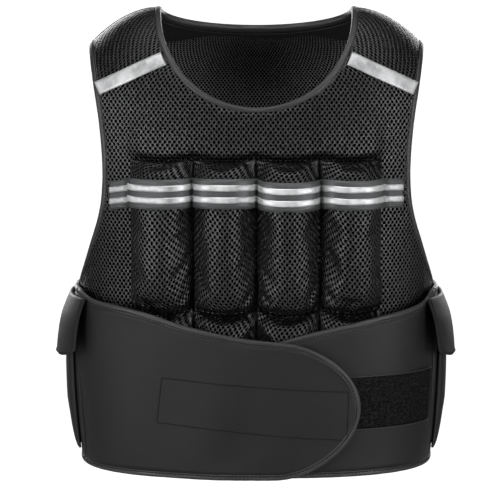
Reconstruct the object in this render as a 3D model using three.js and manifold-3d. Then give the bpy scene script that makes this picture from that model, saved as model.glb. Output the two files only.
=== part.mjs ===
// A weighted training vest as it hangs when worn: two padded mesh panels joined at the shoulders and
// sides, eight stuffed weight pockets, reflective tape, and a wrap belt with a side pouch on each hip.
// Millimetres, +Z up, the wearer faces -Y. Heights count from the belt's lower edge; the finished group
// is lowered so that the origin lies between the shoulders, at the underside of the straps.
import * as THREE from 'three';
import Module from 'manifold-3d';

const wasm = await Module();
wasm.setup();
const V = (x, y, z) => new THREE.Vector3(x, y, z);

// Driving sizes
const GAP = 0.3; // clearance between pieces that touch
const RIDGE_HEIGHT = 500; // top of the shoulder beside the neck
const SHOULDER_HALF = 184; // centre to shoulder tip
const SHOULDER_DROP = 41; // from the neck point down to the shoulder tip
const SHOULDER_ROUND = 100; // height over which chest and back close to the ridge
const BODY_SQUARENESS = 2.4; // power of the rounded sections: 2 is an ellipse
const BODY_HALF = 197; // widest half width of the body
const CHEST_DEPTH = 108; // shoulder line forward to the chest
const BACK_DEPTH = 106; // shoulder line back to the shoulder blades
const NECK_HALF = 104;
const FRONT_NECK_DROP = 105;
const BACK_NECK_DROP = 20;
const UNDERARM_HEIGHT = 201;
const BACK_ARMHOLE_FULLNESS = 0.015; // share of the width that the back covers beyond the front
const PANEL_HEM_HEIGHT = 10;
const PANEL_THICKNESS = 6;
const LAY = 0.45; // clearance of a piece laid on a panel, whose flat facets lie just inside the form
const BINDING_WIDTH = 9;
const BINDING_PROUD = 0.8; // binding stands above the cloth that it closes
const FACING_DEPTH = 46;
const FACING_THICKNESS = 1.2;
const FACING_CLEARANCE = 2.6; // the panel's inner facets bow this far off the form at the shoulder

const POCKET_COUNT = 4;
const POCKET_WIDTH = 67;
const UPPER_POCKET = { prefix: 'upper_pocket', bottom: 181, top: 338, bulge: 27 };
const LOWER_POCKET = { prefix: 'lower_pocket', bottom: 14, top: 176, bulge: 23 };

const TAPE_HEIGHT = 31;
const TAPE_MIDDLE = 305;
const TAPE_THICKNESS = 0.8;
const STRIPE_HEIGHT = 6.2;
const STRIPE_SPACING = 12.4;
const STRIPE_THICKNESS = 0.6;
const STRIPE_GAP = 0.5; // measured along the chest's normal, so less on the tape's slopes
const STRIP_WIDTH = 15;
const STRIP_THICKNESS = 1;
const STRIP_INNER = { across: 101, height: 446 }; // where the shoulder strip meets the neck binding
const STRIP_OUTER = { across: 167, height: 415 };

const BELT_THICKNESS = 4;
const BELT_CLEARANCE = 1.3;
const BELT_SQUARENESS = 2.6;
const BELT_SIDE_HEIGHT = 195;
const BELT_SEAM_ANGLE = 75; // degrees round from the front, where each wing is sewn to the back
const BELT_BINDING_WIDTH = 7;
const RIGHT_WING_END = 42.5;
const RIGHT_WING_ROUND_START = 8;
const RIGHT_WING_END_HEIGHT = 150;
const LEFT_WING_END = -12;
const WING_TURN_END = 78; // how far the rounded end is followed before its tip, out of 90
const LOOP_PATCH = { from: 4, to: 69, bottom: 52, top: 110, thickness: 1.5 };
const HOOK_PATCH = { from: -37, to: 36, left: 60, right: 43, height: 49, thickness: 1.2 };
const POUCH = { from: 80, to: 120, bottom: 14, top: 158, bulge: 10, wall: 2.5, clearance: 0.9 };
const FLAP = { from: 67, to: 126, bottom: 112, top: 187, flare: 14, thickness: 3.5, clearance: 2.3 };

const MESH_BLACK = { color: 0x2b2b2c, roughness: 0.8, metalness: 0 };
const LINING_BLACK = { color: 0x151516, roughness: 0.7, metalness: 0 };
const NEOPRENE_BLACK = { color: 0x303031, roughness: 0.65, metalness: 0 };
const BINDING_BLACK = { color: 0x3a3a3b, roughness: 0.7, metalness: 0 };
const TAPE_GREY = { color: 0x5d5e60, roughness: 0.5, metalness: 0.1 };
const SILVER = { color: 0xd9dadb, roughness: 0.35, metalness: 0.3 };
const LOOP_BLACK = { color: 0x161616, roughness: 0.95, metalness: 0 };

// Body sections: height as a share of the ridge height, widths and depths of the sizes above.
const BODY_SECTIONS = [
  { height: 0.0, half: 0.962, front: 0.935, back: 0.86 },
  { height: 0.12, half: 0.985, front: 0.965, back: 0.9 },
  { height: 0.26, half: 1.0, front: 0.99, back: 0.93 },
  { height: 0.4, half: 0.995, front: 1.0, back: 0.97 },
  { height: 0.54, half: 1.0, front: 0.99, back: 1.0 },
  { height: 0.68, half: 1.025, front: 0.96, back: 0.99 },
  { height: 0.84, half: 1.055, front: 0.87, back: 0.9 },
  { height: 1.0, half: 1.076, front: 0.68, back: 0.68 },
];
// Armhole edge: share of the way from underarm to shoulder, and share of the body's half width there.
const ARMHOLE = [
  { up: 0.0, across: 1.0 },
  { up: 0.035, across: 0.985 },
  { up: 0.09, across: 0.961 },
  { up: 0.18, across: 0.922 },
  { up: 0.28, across: 0.877 },
  { up: 0.37, across: 0.848 },
  { up: 0.5, across: 0.83 },
  { up: 0.68, across: 0.833 },
  { up: 0.85, across: 0.853 },
  { up: 1.0, across: 0.876 },
];
// Upper edge of each belt wing: degrees round from the front, and share of the belt's side height.
const RIGHT_WING_EDGE = [
  { angle: -75, height: 1.0 },
  { angle: -66, height: 0.962 },
  { angle: -55, height: 0.944 },
  { angle: -44, height: 0.912 },
  { angle: -33, height: 0.862 },
  { angle: -21, height: 0.824 },
  { angle: -7, height: 0.79 },
  { angle: 8, height: 0.769 },
];
const LEFT_WING_EDGE = [
  { angle: -12, height: 0.71 },
  { angle: 9, height: 0.759 },
  { angle: 25, height: 0.813 },
  { angle: 38, height: 0.851 },
  { angle: 49, height: 0.887 },
  { angle: 60, height: 0.916 },
  { angle: 68, height: 0.944 },
  { angle: 75, height: 1.0 },
];
// The right wing climbs over the end of the left one: share of the full step at each angle.
const OVERLAP_STEP = [
  { angle: -75, lift: 0.0 },
  { angle: -45, lift: 0.26 },
  { angle: -38, lift: 0.34 },
  { angle: -16, lift: 1.0 },
  { angle: 50, lift: 1.0 },
];
// The flap swings out as it comes down: share of its length, and share of its flare.
const FLAP_FLARE = [
  { down: 0.0, out: 0.0 },
  { down: 0.2, out: 0.36 },
  { down: 0.36, out: 0.6 },
  { down: 0.6, out: 0.8 },
  { down: 1.0, out: 1.0 },
];

// Height of the tape across one pocket, as a share of the pocket's bulge: drawn in at a seam between
// two pockets, and down to the cloth at the outermost seams.
const TAPE_SECTION = [
  { share: -0.1, rise: 0 },
  { share: -0.04, rise: 0.22 },
  { share: 0, rise: 0.4 },
  { share: 0.038, rise: 0.545 },
  { share: 0.146, rise: 0.805 },
  { share: 0.309, rise: 0.965 },
  { share: 0.5, rise: 1.0 },
];

// Smooth curve through a table's rows: cubic pieces whose slopes come from the neighbouring rows.
function along(table, key, value, at) {
  const last = table.length - 1;
  const t = Math.min(Math.max(at, table[0][key]), table[last][key]);
  let i = 0;
  while (i < last - 1 && t > table[i + 1][key]) i += 1;
  const slope = (k) => {
    const a = table[Math.max(k - 1, 0)];
    const b = table[Math.min(k + 1, last)];
    return (b[value] - a[value]) / (b[key] - a[key]);
  };
  const span = table[i + 1][key] - table[i][key];
  const s = (t - table[i][key]) / span;
  const rise = table[i + 1][value] - table[i][value];
  const start = slope(i) * span;
  const end = slope(i + 1) * span;
  return table[i][value] + s * (start + s * (3 * rise - 2 * start - end + s * (start + end - 2 * rise)));
}

// A smooth closed form: rounded sections that close to a ridge over the shoulders.
class Form {
  constructor({ half, front, back, ridge, closeHeight, power }) {
    Object.assign(this, { half, front, back, ridge, closeHeight, power });
  }

  // Share of the section that is still open at this height under the ridge.
  open(x, z) {
    const rise = Math.max(0, (z - this.closeHeight) / (this.ridge(x) - this.closeHeight));
    return 1 - rise * rise;
  }

  // Zero on the form, negative inside it.
  value({ x, y, z }) {
    const depth = y < 0 ? this.front(z) : this.back(z);
    const across = 1 - Math.abs(x / this.half(z)) ** this.power;
    return Math.abs(y / depth) ** this.power - this.open(x, z) * across;
  }

  gradient({ x, y, z }) {
    const h = 0.01;
    return V(
      this.value({ x: x + h, y, z }) - this.value({ x: x - h, y, z }),
      this.value({ x, y: y + h, z }) - this.value({ x, y: y - h, z }),
      this.value({ x, y, z: z + h }) - this.value({ x, y, z: z - h }),
    ).divideScalar(2 * h);
  }

  normal(p) {
    return this.gradient(p).normalize();
  }

  // Nearest point of the form, found by stepping along the slope.
  press(p) {
    const q = p.clone();
    for (let i = 0; i < 12; i += 1) {
      const g = this.gradient(q);
      q.addScaledVector(g, -this.value(q) / g.lengthSq());
    }
    return q;
  }

  // Point of the form at a front-view place, on the chest side or the back side.
  at(x, z, side) {
    const across = Math.max(0, 1 - Math.abs(x / this.half(z)) ** this.power);
    const depth = side < 0 ? this.front(z) : this.back(z);
    return V(x, side * depth * (across * Math.max(0, this.open(x, z))) ** (1 / this.power), z);
  }

  // Point of the form at an angle round from the front, in degrees.
  round(angle, z) {
    const a = THREE.MathUtils.degToRad(angle);
    const depth = Math.cos(a) > 0 ? this.front(z) : this.back(z);
    const reach = Math.abs(Math.sin(a) / this.half(z)) ** this.power + Math.abs(Math.cos(a) / depth) ** this.power;
    return V(Math.sin(a), -Math.cos(a), 0).multiplyScalar(reach ** (-1 / this.power)).setZ(z);
  }
}

const section = (name, z) => along(BODY_SECTIONS, 'height', name, z / RIDGE_HEIGHT);
const ridge = (x) => {
  const out = Math.max(0, Math.abs(x) - NECK_HALF) / (SHOULDER_HALF - NECK_HALF);
  return RIDGE_HEIGHT - SHOULDER_DROP * out * out;
};
const body = new Form({
  half: (z) => BODY_HALF * section('half', z),
  front: (z) => CHEST_DEPTH * section('front', z),
  back: (z) => BACK_DEPTH * section('back', z),
  ridge,
  closeHeight: RIDGE_HEIGHT - SHOULDER_ROUND,
  power: BODY_SQUARENESS,
});
// The belt's inner side: on the cloth at the hips and back, and over the lower pockets in front.
const belt = new Form({
  half: (z) => body.half(z) + BELT_CLEARANCE,
  front: (z) => body.front(z) + LOWER_POCKET.bulge + BELT_CLEARANCE,
  back: (z) => body.back(z) + BELT_CLEARANCE,
  ridge: () => RIDGE_HEIGHT * 2,
  closeHeight: RIDGE_HEIGHT,
  power: BELT_SQUARENESS,
});

// A closed body from vertices and triangles, turned so that its faces point outwards.
function solidOf(points, triangles) {
  let volume = 0;
  for (const [a, b, c] of triangles) volume += points[a].dot(points[b].clone().cross(points[c]));
  const facing = volume < 0 ? triangles.map(([a, b, c]) => [a, c, b]) : triangles;
  return new wasm.Manifold(
    new wasm.Mesh({
      numProp: 3,
      vertProperties: new Float32Array(points.flatMap((p) => [p.x, p.y, p.z])),
      triVerts: new Uint32Array(facing.flat()),
    }),
  );
}

const quad = (a, b, c, d) => [
  [a, b, c],
  [a, c, d],
];

// Cloth of a given thickness over a grid of places on a form. low and high give the offset of the
// inner and outer face from the form, and trim may shift a finished vertex.
function cloth(form, rows, low, high, trim = (p) => p) {
  const across = rows[0].length;
  const count = rows.length * across;
  const points = [high, low].flatMap((offset) =>
    rows.flatMap((row, i) =>
      row.map((p, j) => trim(p.clone().addScaledVector(form.normal(p), offset(i, j, p)))),
    ),
  );
  const id = (i, j) => i * across + j;
  const faces = [];
  for (let i = 0; i + 1 < rows.length; i += 1) {
    for (let j = 0; j + 1 < across; j += 1) {
      const ring = [id(i, j), id(i, j + 1), id(i + 1, j + 1), id(i + 1, j)];
      faces.push(...quad(...ring), ...quad(...ring.map((k) => k + count).reverse()));
    }
    const [left, right] = [id(i, 0), id(i, across - 1)];
    faces.push(...quad(left, left + across, left + across + count, left + count));
    faces.push(...quad(right + across, right, right + count, right + across + count));
  }
  const top = (rows.length - 1) * across;
  for (let j = 0; j + 1 < across; j += 1) {
    faces.push(...quad(j + 1, j, j + count, j + 1 + count));
    faces.push(...quad(top + j, top + j + 1, top + j + 1 + count, top + j + count));
  }
  return solidOf(points, faces);
}

// A bar whose cross-section rings are joined one after another, closed on itself or capped.
function bar(rings, closed) {
  const sides = rings[0].length;
  const faces = [];
  const spans = closed ? rings.length : rings.length - 1;
  for (let i = 0; i < spans; i += 1) {
    const next = ((i + 1) % rings.length) * sides;
    for (let k = 0; k < sides; k += 1) {
      const m = (k + 1) % sides;
      faces.push(...quad(i * sides + k, i * sides + m, next + m, next + k));
    }
  }
  if (!closed) {
    const last = (rings.length - 1) * sides;
    for (let k = 1; k + 1 < sides; k += 1) faces.push([0, k + 1, k], [last, last + k, last + k + 1]);
  }
  return solidOf(rings.flat(), faces);
}

const mirror = (p) => V(-p.x, p.y, p.z);
const between = (a, b, count) => Array.from({ length: count + 1 }, (_, i) => a + ((b - a) * i) / count);

// The same line with evenly spaced points.
function evenly(points, count) {
  const run = [0];
  for (let i = 1; i < points.length; i += 1) run.push(run[i - 1] + points[i].distanceTo(points[i - 1]));
  return between(0, run[run.length - 1], count).map((s) => {
    let i = 1;
    while (i < points.length - 1 && run[i] < s) i += 1;
    const share = (s - run[i - 1]) / (run[i] - run[i - 1]);
    return points[i - 1].clone().lerp(points[i], Math.min(1, share));
  });
}

// Unit directions across an edge line and along the surface, pointing into the cloth for turn 1 or -1.
// An open line's ends lie square to a seam plane, along the direction given by ends.
function inward(form, line, turn, closed, ends) {
  const last = line.length - 1;
  return line.map((p, i) => {
    const before = line[closed ? (i + last) % line.length : Math.max(0, i - 1)];
    const after = line[closed ? (i + 1) % line.length : Math.min(last, i + 1)];
    const atEnd = !closed && (i === 0 || i === last);
    const turning = after.clone().sub(p).normalize().add(p.clone().sub(before).normalize());
    const way = atEnd && ends ? ends.clone().multiplyScalar(i ? 1 : -1) : turning;
    return form.normal(p).cross(way.normalize()).normalize().multiplyScalar(turn);
  });
}

const step = (form, p, way, distance) => form.press(p.clone().addScaledVector(way, distance));

// Folded tape closed over a raw edge: a rounded bar from the edge line in to the cloth that it holds.
function binding(form, line, ways, { width, low, high, closed, grow, trim }) {
  const proud = BINDING_PROUD + grow;
  const crown = [
    { in: width - GAP + grow, n: high + proud },
    { in: width * 0.3, n: high + proud },
    { in: -grow, n: (high * 2 + low) / 3 },
    { in: -grow, n: (high + low * 2) / 3 },
    { in: width * 0.3, n: low - proud },
    { in: width - GAP + grow, n: low - proud },
  ];
  const rings = line.map((p, i) =>
    crown.map((c) => {
      const q = step(form, p, ways[i], c.in);
      return (trim ?? ((r) => r))(q.addScaledVector(form.normal(q), c.n));
    }),
  );
  return bar(rings, closed);
}

// Edge lines of the panels, on the wearer's left (+X) half
const RAIL = { lower: 4, chest: 6, neck: 9 };
const armRows = RAIL.chest + RAIL.neck;
const DENSE = 90;

function armholeLine(side) {
  const line = between(0, 1, DENSE).map((s) => {
    const up = (1 - Math.cos(Math.PI * s)) / 2;
    const fuller = side > 0 ? BACK_ARMHOLE_FULLNESS * Math.sin(Math.PI * up) : 0;
    const across = along(ARMHOLE, 'up', 'across', up) + fuller * (1 - Math.exp(-up * 12));
    const tip = shoulderTip();
    const z = UNDERARM_HEIGHT + (tip.z - UNDERARM_HEIGHT) * up;
    return body.at(Math.min(across, 1) * body.half(z), z, side);
  });
  return evenly(line, armRows);
}

// The shoulder tip: where the armhole meets the ridge.
function shoulderTip() {
  const share = ARMHOLE[ARMHOLE.length - 1].across;
  let z = RIDGE_HEIGHT - SHOULDER_DROP;
  for (let i = 0; i < 20; i += 1) z = ridge(share * body.half(z));
  return V(share * body.half(z), 0, z);
}

function neckLine(side) {
  const drop = side < 0 ? FRONT_NECK_DROP : BACK_NECK_DROP;
  const line = between(0, 1, DENSE).map((s) => {
    const a = (Math.PI / 2) * (1 - (1 - s) ** 3);
    const x = NECK_HALF * Math.sin(a);
    return body.at(x, ridge(x) - drop * Math.cos(a), side);
  });
  return evenly(line, RAIL.neck);
}

const seamTrim = (side) => (p) => p.setY(side * Math.max(side * p.y, GAP / 2));
const SEAM_WAY = V(0, 1, 0);

// Half of a panel as rows of places on the body, from hem to shoulder ridge.
function panelRows(side, grow) {
  const inset = BINDING_WIDTH - grow;
  const arm = armholeLine(side);
  const armWays = inward(body, arm, -side, false, V(0, -side, 0));
  const outer = arm.map((p, i) => step(body, p, armWays[i], inset));
  const neck = neckEdge(side);
  const inner = neck.line.map((p, i) => step(body, p, neck.ways[i], inset)).slice(RAIL.neck);
  const hem = PANEL_HEM_HEIGHT - grow;
  const low = between(hem, outer[0].z, RAIL.lower).slice(0, -1);
  const chest = between(outer[0].z, inner[0].z, RAIL.chest).slice(0, -1);
  const innerRail = [...low, ...chest].map((z) => body.at(0, z, side)).concat(inner);
  const outerRail = low.map((z) => body.at(body.half(z), z, side)).concat(outer);
  const columns = 8;
  return innerRail.map((a, i) =>
    between(0, 1, columns).map((s) => {
      if (s === 0) return a.clone();
      return s === 1 ? outerRail[i].clone() : body.press(a.clone().lerp(outerRail[i], s));
    }),
  );
}

function panel(side, grow = 0) {
  const rows = panelRows(side, grow);
  const make = (grid) =>
    cloth(body, grid, () => -PANEL_THICKNESS - grow, () => grow, seamTrim(side));
  return make(rows).add(make(rows.map((row) => row.map(mirror))));
}

// The whole neck edge from shoulder to shoulder.
function neckEdge(side) {
  const half = neckLine(side);
  const line = [...half.slice(1).reverse().map(mirror), ...half];
  return { line, ways: inward(body, line, side, false, V(0, -side, 0)) };
}

function neckBinding(side, grow = 0) {
  const { line, ways } = neckEdge(side);
  return binding(body, line, ways, {
    width: BINDING_WIDTH,
    low: -PANEL_THICKNESS,
    high: 0,
    closed: false,
    grow,
    trim: seamTrim(side),
  });
}

// The loop round one armhole: up the front, over the shoulder and down the back.
function armholeBinding(hand, grow = 0) {
  const loop = [...armholeLine(-1), ...armholeLine(1).slice(1, -1).reverse()];
  const ways = inward(body, loop, 1, true);
  const line = hand > 0 ? loop : loop.map(mirror);
  const turned = hand > 0 ? ways : ways.map(mirror);
  return binding(body, line, turned, {
    width: BINDING_WIDTH,
    low: -PANEL_THICKNESS,
    high: 0,
    closed: true,
    grow,
  });
}

// Smooth facing sewn inside the back of the neck.
function neckFacing() {
  const { line, ways } = neckEdge(1);
  const rows = between(BINDING_WIDTH + GAP, BINDING_WIDTH + FACING_DEPTH, 4).map((distance) =>
    line.map((p, i) => step(body, p, ways[i], distance)),
  );
  const under = -PANEL_THICKNESS - FACING_CLEARANCE;
  return cloth(body, rows, () => under - FACING_THICKNESS, () => under, seamTrim(1));
}

// Rise of a stuffed pocket across its width and along its height, both from 0 to 1.
const pillow = (share, power) => Math.max(0, 1 - Math.abs(2 * share - 1) ** power) ** 0.5;

function pocket({ bottom, top, bulge }, index) {
  const left = (index - POCKET_COUNT / 2) * POCKET_WIDTH;
  const columns = 8;
  const rows = 7;
  const inset = GAP / 2;
  const place = (s) => (1 - Math.cos(Math.PI * s)) / 2;
  const grid = between(0, 1, rows).map((v) =>
    between(0, 1, columns).map((u) =>
      body.at(
        left + inset + (POCKET_WIDTH - 2 * inset) * place(u),
        bottom + (top - bottom) * place(v),
        -1,
      ),
    ),
  );
  const rise = (i, j) =>
    LAY + 1 + (bulge - LAY - 1) * pillow(place(j / columns), 2.6) * pillow(place(i / rows), 7);
  return cloth(body, grid, () => LAY, rise);
}

// Height of the tape above the chest.
function tapeRise(x) {
  const edge = (POCKET_COUNT / 2) * POCKET_WIDTH;
  const within = ((edge - Math.abs(x)) / POCKET_WIDTH) % 1;
  return LAY + UPPER_POCKET.bulge * along(TAPE_SECTION, 'share', 'rise', Math.min(within, 1 - within));
}

function tapeGrid(heights) {
  const edge = (POCKET_COUNT / 2) * POCKET_WIDTH;
  const half = TAPE_SECTION.map((row) => row.share).filter((share) => share >= 0);
  const shares = [...half, ...half.slice(0, -1).reverse().map((share) => 1 - share)].slice(0, -1);
  const middle = between(0, POCKET_COUNT - 1, POCKET_COUNT - 1).flatMap((k) =>
    shares.map((share) => -edge + (k + share) * POCKET_WIDTH),
  );
  const feet = TAPE_SECTION.filter((row) => row.share < 0).map((row) => edge - row.share * POCKET_WIDTH);
  return heights.map((z) => {
    const up = (z - UNDERARM_HEIGHT) / (shoulderTip().z - UNDERARM_HEIGHT);
    const end = body.half(z) * along(ARMHOLE, 'up', 'across', up) - BINDING_WIDTH - 1;
    const right = [edge, ...[...feet].reverse(), end];
    return [-end, ...feet.map((x) => -x), ...middle, ...right].map((x) => body.at(x, z, -1));
  });
}

function reflectiveTape() {
  const rows = tapeGrid([TAPE_MIDDLE - TAPE_HEIGHT / 2, TAPE_MIDDLE + TAPE_HEIGHT / 2]);
  const edge = (POCKET_COUNT / 2 + 0.05) * POCKET_WIDTH;
  return cloth(
    body,
    rows,
    (i, j, p) => tapeRise(p.x) - (Math.abs(p.x) > edge ? 1 : 0),
    (i, j, p) => tapeRise(p.x) + TAPE_THICKNESS,
  );
}

function silverStripe(middle) {
  const rows = tapeGrid([middle - STRIPE_HEIGHT / 2, middle + STRIPE_HEIGHT / 2]);
  const base = TAPE_THICKNESS + STRIPE_GAP;
  return cloth(
    body,
    rows,
    (i, j, p) => tapeRise(p.x) + base,
    (i, j, p) => tapeRise(p.x) + base + STRIPE_THICKNESS,
  );
}

function shoulderStrip(hand) {
  const slope = V(STRIP_OUTER.across - STRIP_INNER.across, 0, STRIP_OUTER.height - STRIP_INNER.height);
  const up = V(-slope.z, 0, slope.x).normalize();
  const rows = [-1, 0, 1].map((k) =>
    between(0, 1, 8).map((s) => {
      const x = STRIP_INNER.across + slope.x * s + (up.x * k * STRIP_WIDTH) / 2;
      const z = STRIP_INNER.height + slope.z * s + (up.z * k * STRIP_WIDTH) / 2;
      return body.at(hand * x, z, -1);
    }),
  );
  return cloth(body, rows, () => LAY, () => LAY + STRIP_THICKNESS);
}

// Belt pieces: each is made on the belt's form, a grid of angles and heights.
const seamGapAngle = THREE.MathUtils.radToDeg(GAP / 2 / BODY_HALF);
const wingEdge = (table, angle) => BELT_SIDE_HEIGHT * along(table, 'angle', 'height', angle);
const fullStep = BELT_THICKNESS + LOOP_PATCH.thickness + HOOK_PATCH.thickness + 4 * GAP;
const overlap = (angle) => fullStep * along(OVERLAP_STEP, 'angle', 'lift', angle);
const angleOf = (p) => THREE.MathUtils.radToDeg(Math.atan2(p.x, -p.y));
const BELT_ROWS = 4;

// Outline of the right wing: upper and lower edge by column, and the tip where they meet.
function rightWingOutline() {
  const start = -BELT_SEAM_ANGLE + seamGapAngle;
  const straight = between(start, RIGHT_WING_ROUND_START, 15);
  const reach = RIGHT_WING_END - RIGHT_WING_ROUND_START;
  const turns = between(0, WING_TURN_END, 6).slice(1).map((a) => THREE.MathUtils.degToRad(a));
  const middle = RIGHT_WING_END_HEIGHT / 2;
  const upper = straight
    .map((angle) => belt.round(angle, wingEdge(RIGHT_WING_EDGE, angle)))
    .concat(turns.map((a) => belt.round(RIGHT_WING_ROUND_START + reach * Math.sin(a), middle * (1 + Math.cos(a)))));
  const lower = straight
    .map((angle) => belt.round(angle, 0))
    .concat(turns.map((a) => belt.round(RIGHT_WING_ROUND_START + reach * Math.sin(a), middle * (1 - Math.cos(a)))));
  return { upper, lower, tip: belt.round(RIGHT_WING_END, middle) };
}

function leftWingOutline() {
  const angles = between(BELT_SEAM_ANGLE - seamGapAngle, LEFT_WING_END, 14);
  const upper = angles.map((angle) => belt.round(angle, wingEdge(LEFT_WING_EDGE, angle)));
  const lower = angles.map((angle) => belt.round(angle, 0));
  const tip = belt.round(LEFT_WING_END, upper[upper.length - 1].z / 2);
  return { upper, lower, tip };
}

// Runs down the upper edge, round the tip and back along the lower edge.
function wingLine({ upper, lower, tip }) {
  return [...upper, tip, ...[...lower].reverse()];
}

function wingInsetRows(outline, turn, inset) {
  const line = wingLine(outline);
  const ways = inward(belt, line, turn, false);
  for (const end of [0, line.length - 1]) ways[end] = V(0, 0, end ? 1 : -1);
  const moved = line.map((p, i) => step(belt, p, ways[i], inset));
  const count = outline.upper.length;
  const tip = moved[count];
  return between(0, BELT_ROWS, BELT_ROWS).map((r) =>
    outline.upper.map((_, j) => {
      const top = moved[j];
      const bottom = moved[moved.length - 1 - j];
      const share = r / BELT_ROWS;
      if (j < count - 1) return belt.press(bottom.clone().lerp(top, share));
      const from = share <= 0.5 ? bottom : tip;
      const to = share <= 0.5 ? tip : top;
      return belt.press(from.clone().lerp(to, share <= 0.5 ? share * 2 : share * 2 - 1));
    }),
  );
}

function wing(outline, turn, lift, grow = 0) {
  const rows = wingInsetRows(outline, turn, BELT_BINDING_WIDTH + GAP);
  return cloth(
    belt,
    rows,
    (i, j, p) => lift(angleOf(p)) - grow,
    (i, j, p) => lift(angleOf(p)) + BELT_THICKNESS + grow,
  );
}

function wingBinding(outline, turn, lift, grow = 0) {
  const line = wingLine(outline);
  const ways = inward(belt, line, turn, false);
  for (const end of [0, line.length - 1]) ways[end] = V(0, 0, end ? 1 : -1);
  return liftedBinding(line, ways, lift, false, grow);
}

// Binding along a belt edge, at the belt's own offset from its form.
function liftedBinding(line, ways, lift, closed, grow) {
  const proud = BINDING_PROUD + grow;
  const width = BELT_BINDING_WIDTH;
  const rings = line.map((p, i) => {
    const base = lift(angleOf(p));
    const crown = [
      { in: width - GAP + grow, n: base + BELT_THICKNESS + proud },
      { in: width * 0.3, n: base + BELT_THICKNESS + proud },
      { in: -grow, n: base + BELT_THICKNESS * 0.65 },
      { in: -grow, n: base + BELT_THICKNESS * 0.35 },
      { in: width * 0.3, n: base - grow },
      { in: width - GAP + grow, n: base - grow },
    ];
    return crown.map((c) => {
      const q = step(belt, p, ways[i], c.in);
      return q.addScaledVector(belt.normal(q), c.n);
    });
  });
  return bar(rings, closed);
}

function backAngles(count) {
  return between(BELT_SEAM_ANGLE + seamGapAngle, 360 - BELT_SEAM_ANGLE - seamGapAngle, count);
}

function beltBack(grow = 0) {
  const inset = BELT_BINDING_WIDTH - grow;
  const rows = between(inset, BELT_SIDE_HEIGHT - inset, 3).map((z) =>
    backAngles(26).map((angle) => belt.round(angle, z)),
  );
  return cloth(belt, rows, () => -grow, () => BELT_THICKNESS + grow);
}

function backBinding(height, up, grow = 0) {
  const line = backAngles(26).map((angle) => belt.round(angle, height));
  const ways = line.map(() => V(0, 0, up));
  return liftedBinding(line, ways, () => 0, false, grow);
}

function beltPatch({ from, to, columns, bottom, top, low, high }) {
  const rows = between(0, 1, 2).map((v) =>
    between(from, to, columns).map((angle) =>
      belt.round(angle, bottom(angle) + (top(angle) - bottom(angle)) * v),
    ),
  );
  return cloth(belt, rows, (i, j, p) => low(angleOf(p)), (i, j, p) => high(angleOf(p)));
}

function loopPatch(grow = 0) {
  const base = BELT_THICKNESS + 2 * GAP;
  return beltPatch({
    from: LOOP_PATCH.from,
    to: LOOP_PATCH.to,
    columns: 12,
    bottom: () => LOOP_PATCH.bottom - grow,
    top: () => LOOP_PATCH.top + grow,
    low: () => base,
    high: () => base + LOOP_PATCH.thickness + grow,
  });
}

function hookPatch() {
  const slant = (angle) =>
    HOOK_PATCH.left +
    ((HOOK_PATCH.right - HOOK_PATCH.left) * (angle - HOOK_PATCH.from)) / (HOOK_PATCH.to - HOOK_PATCH.from);
  return beltPatch({
    from: HOOK_PATCH.from,
    to: HOOK_PATCH.to,
    columns: 14,
    bottom: slant,
    top: (angle) => slant(angle) + HOOK_PATCH.height,
    low: (angle) => overlap(angle) - GAP - HOOK_PATCH.thickness,
    high: (angle) => overlap(angle) - GAP,
  });
}

// Hip pouch: one wall sewn down along its sides and bottom, open at the top under the flap.
function pouch(hand) {
  const { from, to, bottom, top, bulge, wall, clearance } = POUCH;
  const columns = 8;
  const rowCount = 6;
  const heights = between(0, 1, rowCount).map((v) => bottom + (top - bottom) * v ** 1.3);
  const rows = heights.map((z) => between(from, to, columns).map((a) => belt.round(hand * a, z)));
  const low = (i, j) => {
    const across = pillow(j / columns, 3);
    const v = i / rowCount;
    const upward = Math.min(1, (v * 2.2) ** 0.6) * (1 - 0.42 * v ** 3);
    return BELT_THICKNESS + clearance + bulge * across * upward;
  };
  return cloth(belt, rows, low, (i, j) => low(i, j) + wall);
}

// Flap that hangs from the belt's upper binding over the pouch's mouth.
function pouchFlap(hand) {
  const { from, to, bottom, top, flare, thickness, clearance } = FLAP;
  const columns = 8;
  const rows = between(0, 1, 6).map((down) =>
    between(from, to, columns).map((a, j) => {
      const corner = Math.abs((2 * j) / columns - 1) ** 6 * 9 * down;
      return belt.round(hand * a, top - (top - bottom) * down + corner);
    }),
  );
  const low = (i) => BELT_THICKNESS + clearance + flare * along(FLAP_FLARE, 'down', 'out', i / 6);
  return cloth(belt, rows, low, (i) => low(i) + thickness);
}

const SEAT_HEIGHT = ridge((NECK_HALF + SHOULDER_HALF) / 2) - PANEL_THICKNESS;
const vest = new THREE.Group();
vest.position.z = -SEAT_HEIGHT;

function show(name, solid, look) {
  const { vertProperties, triVerts } = solid.getMesh();
  const geometry = new THREE.BufferGeometry();
  geometry.setAttribute('position', new THREE.BufferAttribute(vertProperties, 3));
  geometry.setIndex(new THREE.BufferAttribute(triVerts, 1));
  geometry.computeVertexNormals();
  const mesh = new THREE.Mesh(geometry, new THREE.MeshStandardMaterial(look));
  mesh.name = name;
  vest.add(mesh);
  return solid;
}

// Panels and their bindings
show('front_panel', panel(-1), MESH_BLACK);
show('back_panel', panel(1), MESH_BLACK);
show('front_neck_binding', neckBinding(-1), BINDING_BLACK);
show('back_neck_binding', neckBinding(1), BINDING_BLACK);
show('armhole_binding_left', armholeBinding(1), BINDING_BLACK);
show('armhole_binding_right', armholeBinding(-1), BINDING_BLACK);
show('back_neck_facing', neckFacing().subtract(panel(1, GAP)), LINING_BLACK);

// Weight pockets
for (const row of [UPPER_POCKET, LOWER_POCKET]) {
  for (let k = 0; k < POCKET_COUNT; k += 1) show(`${row.prefix}_${k + 1}`, pocket(row, k), MESH_BLACK);
}

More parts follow.
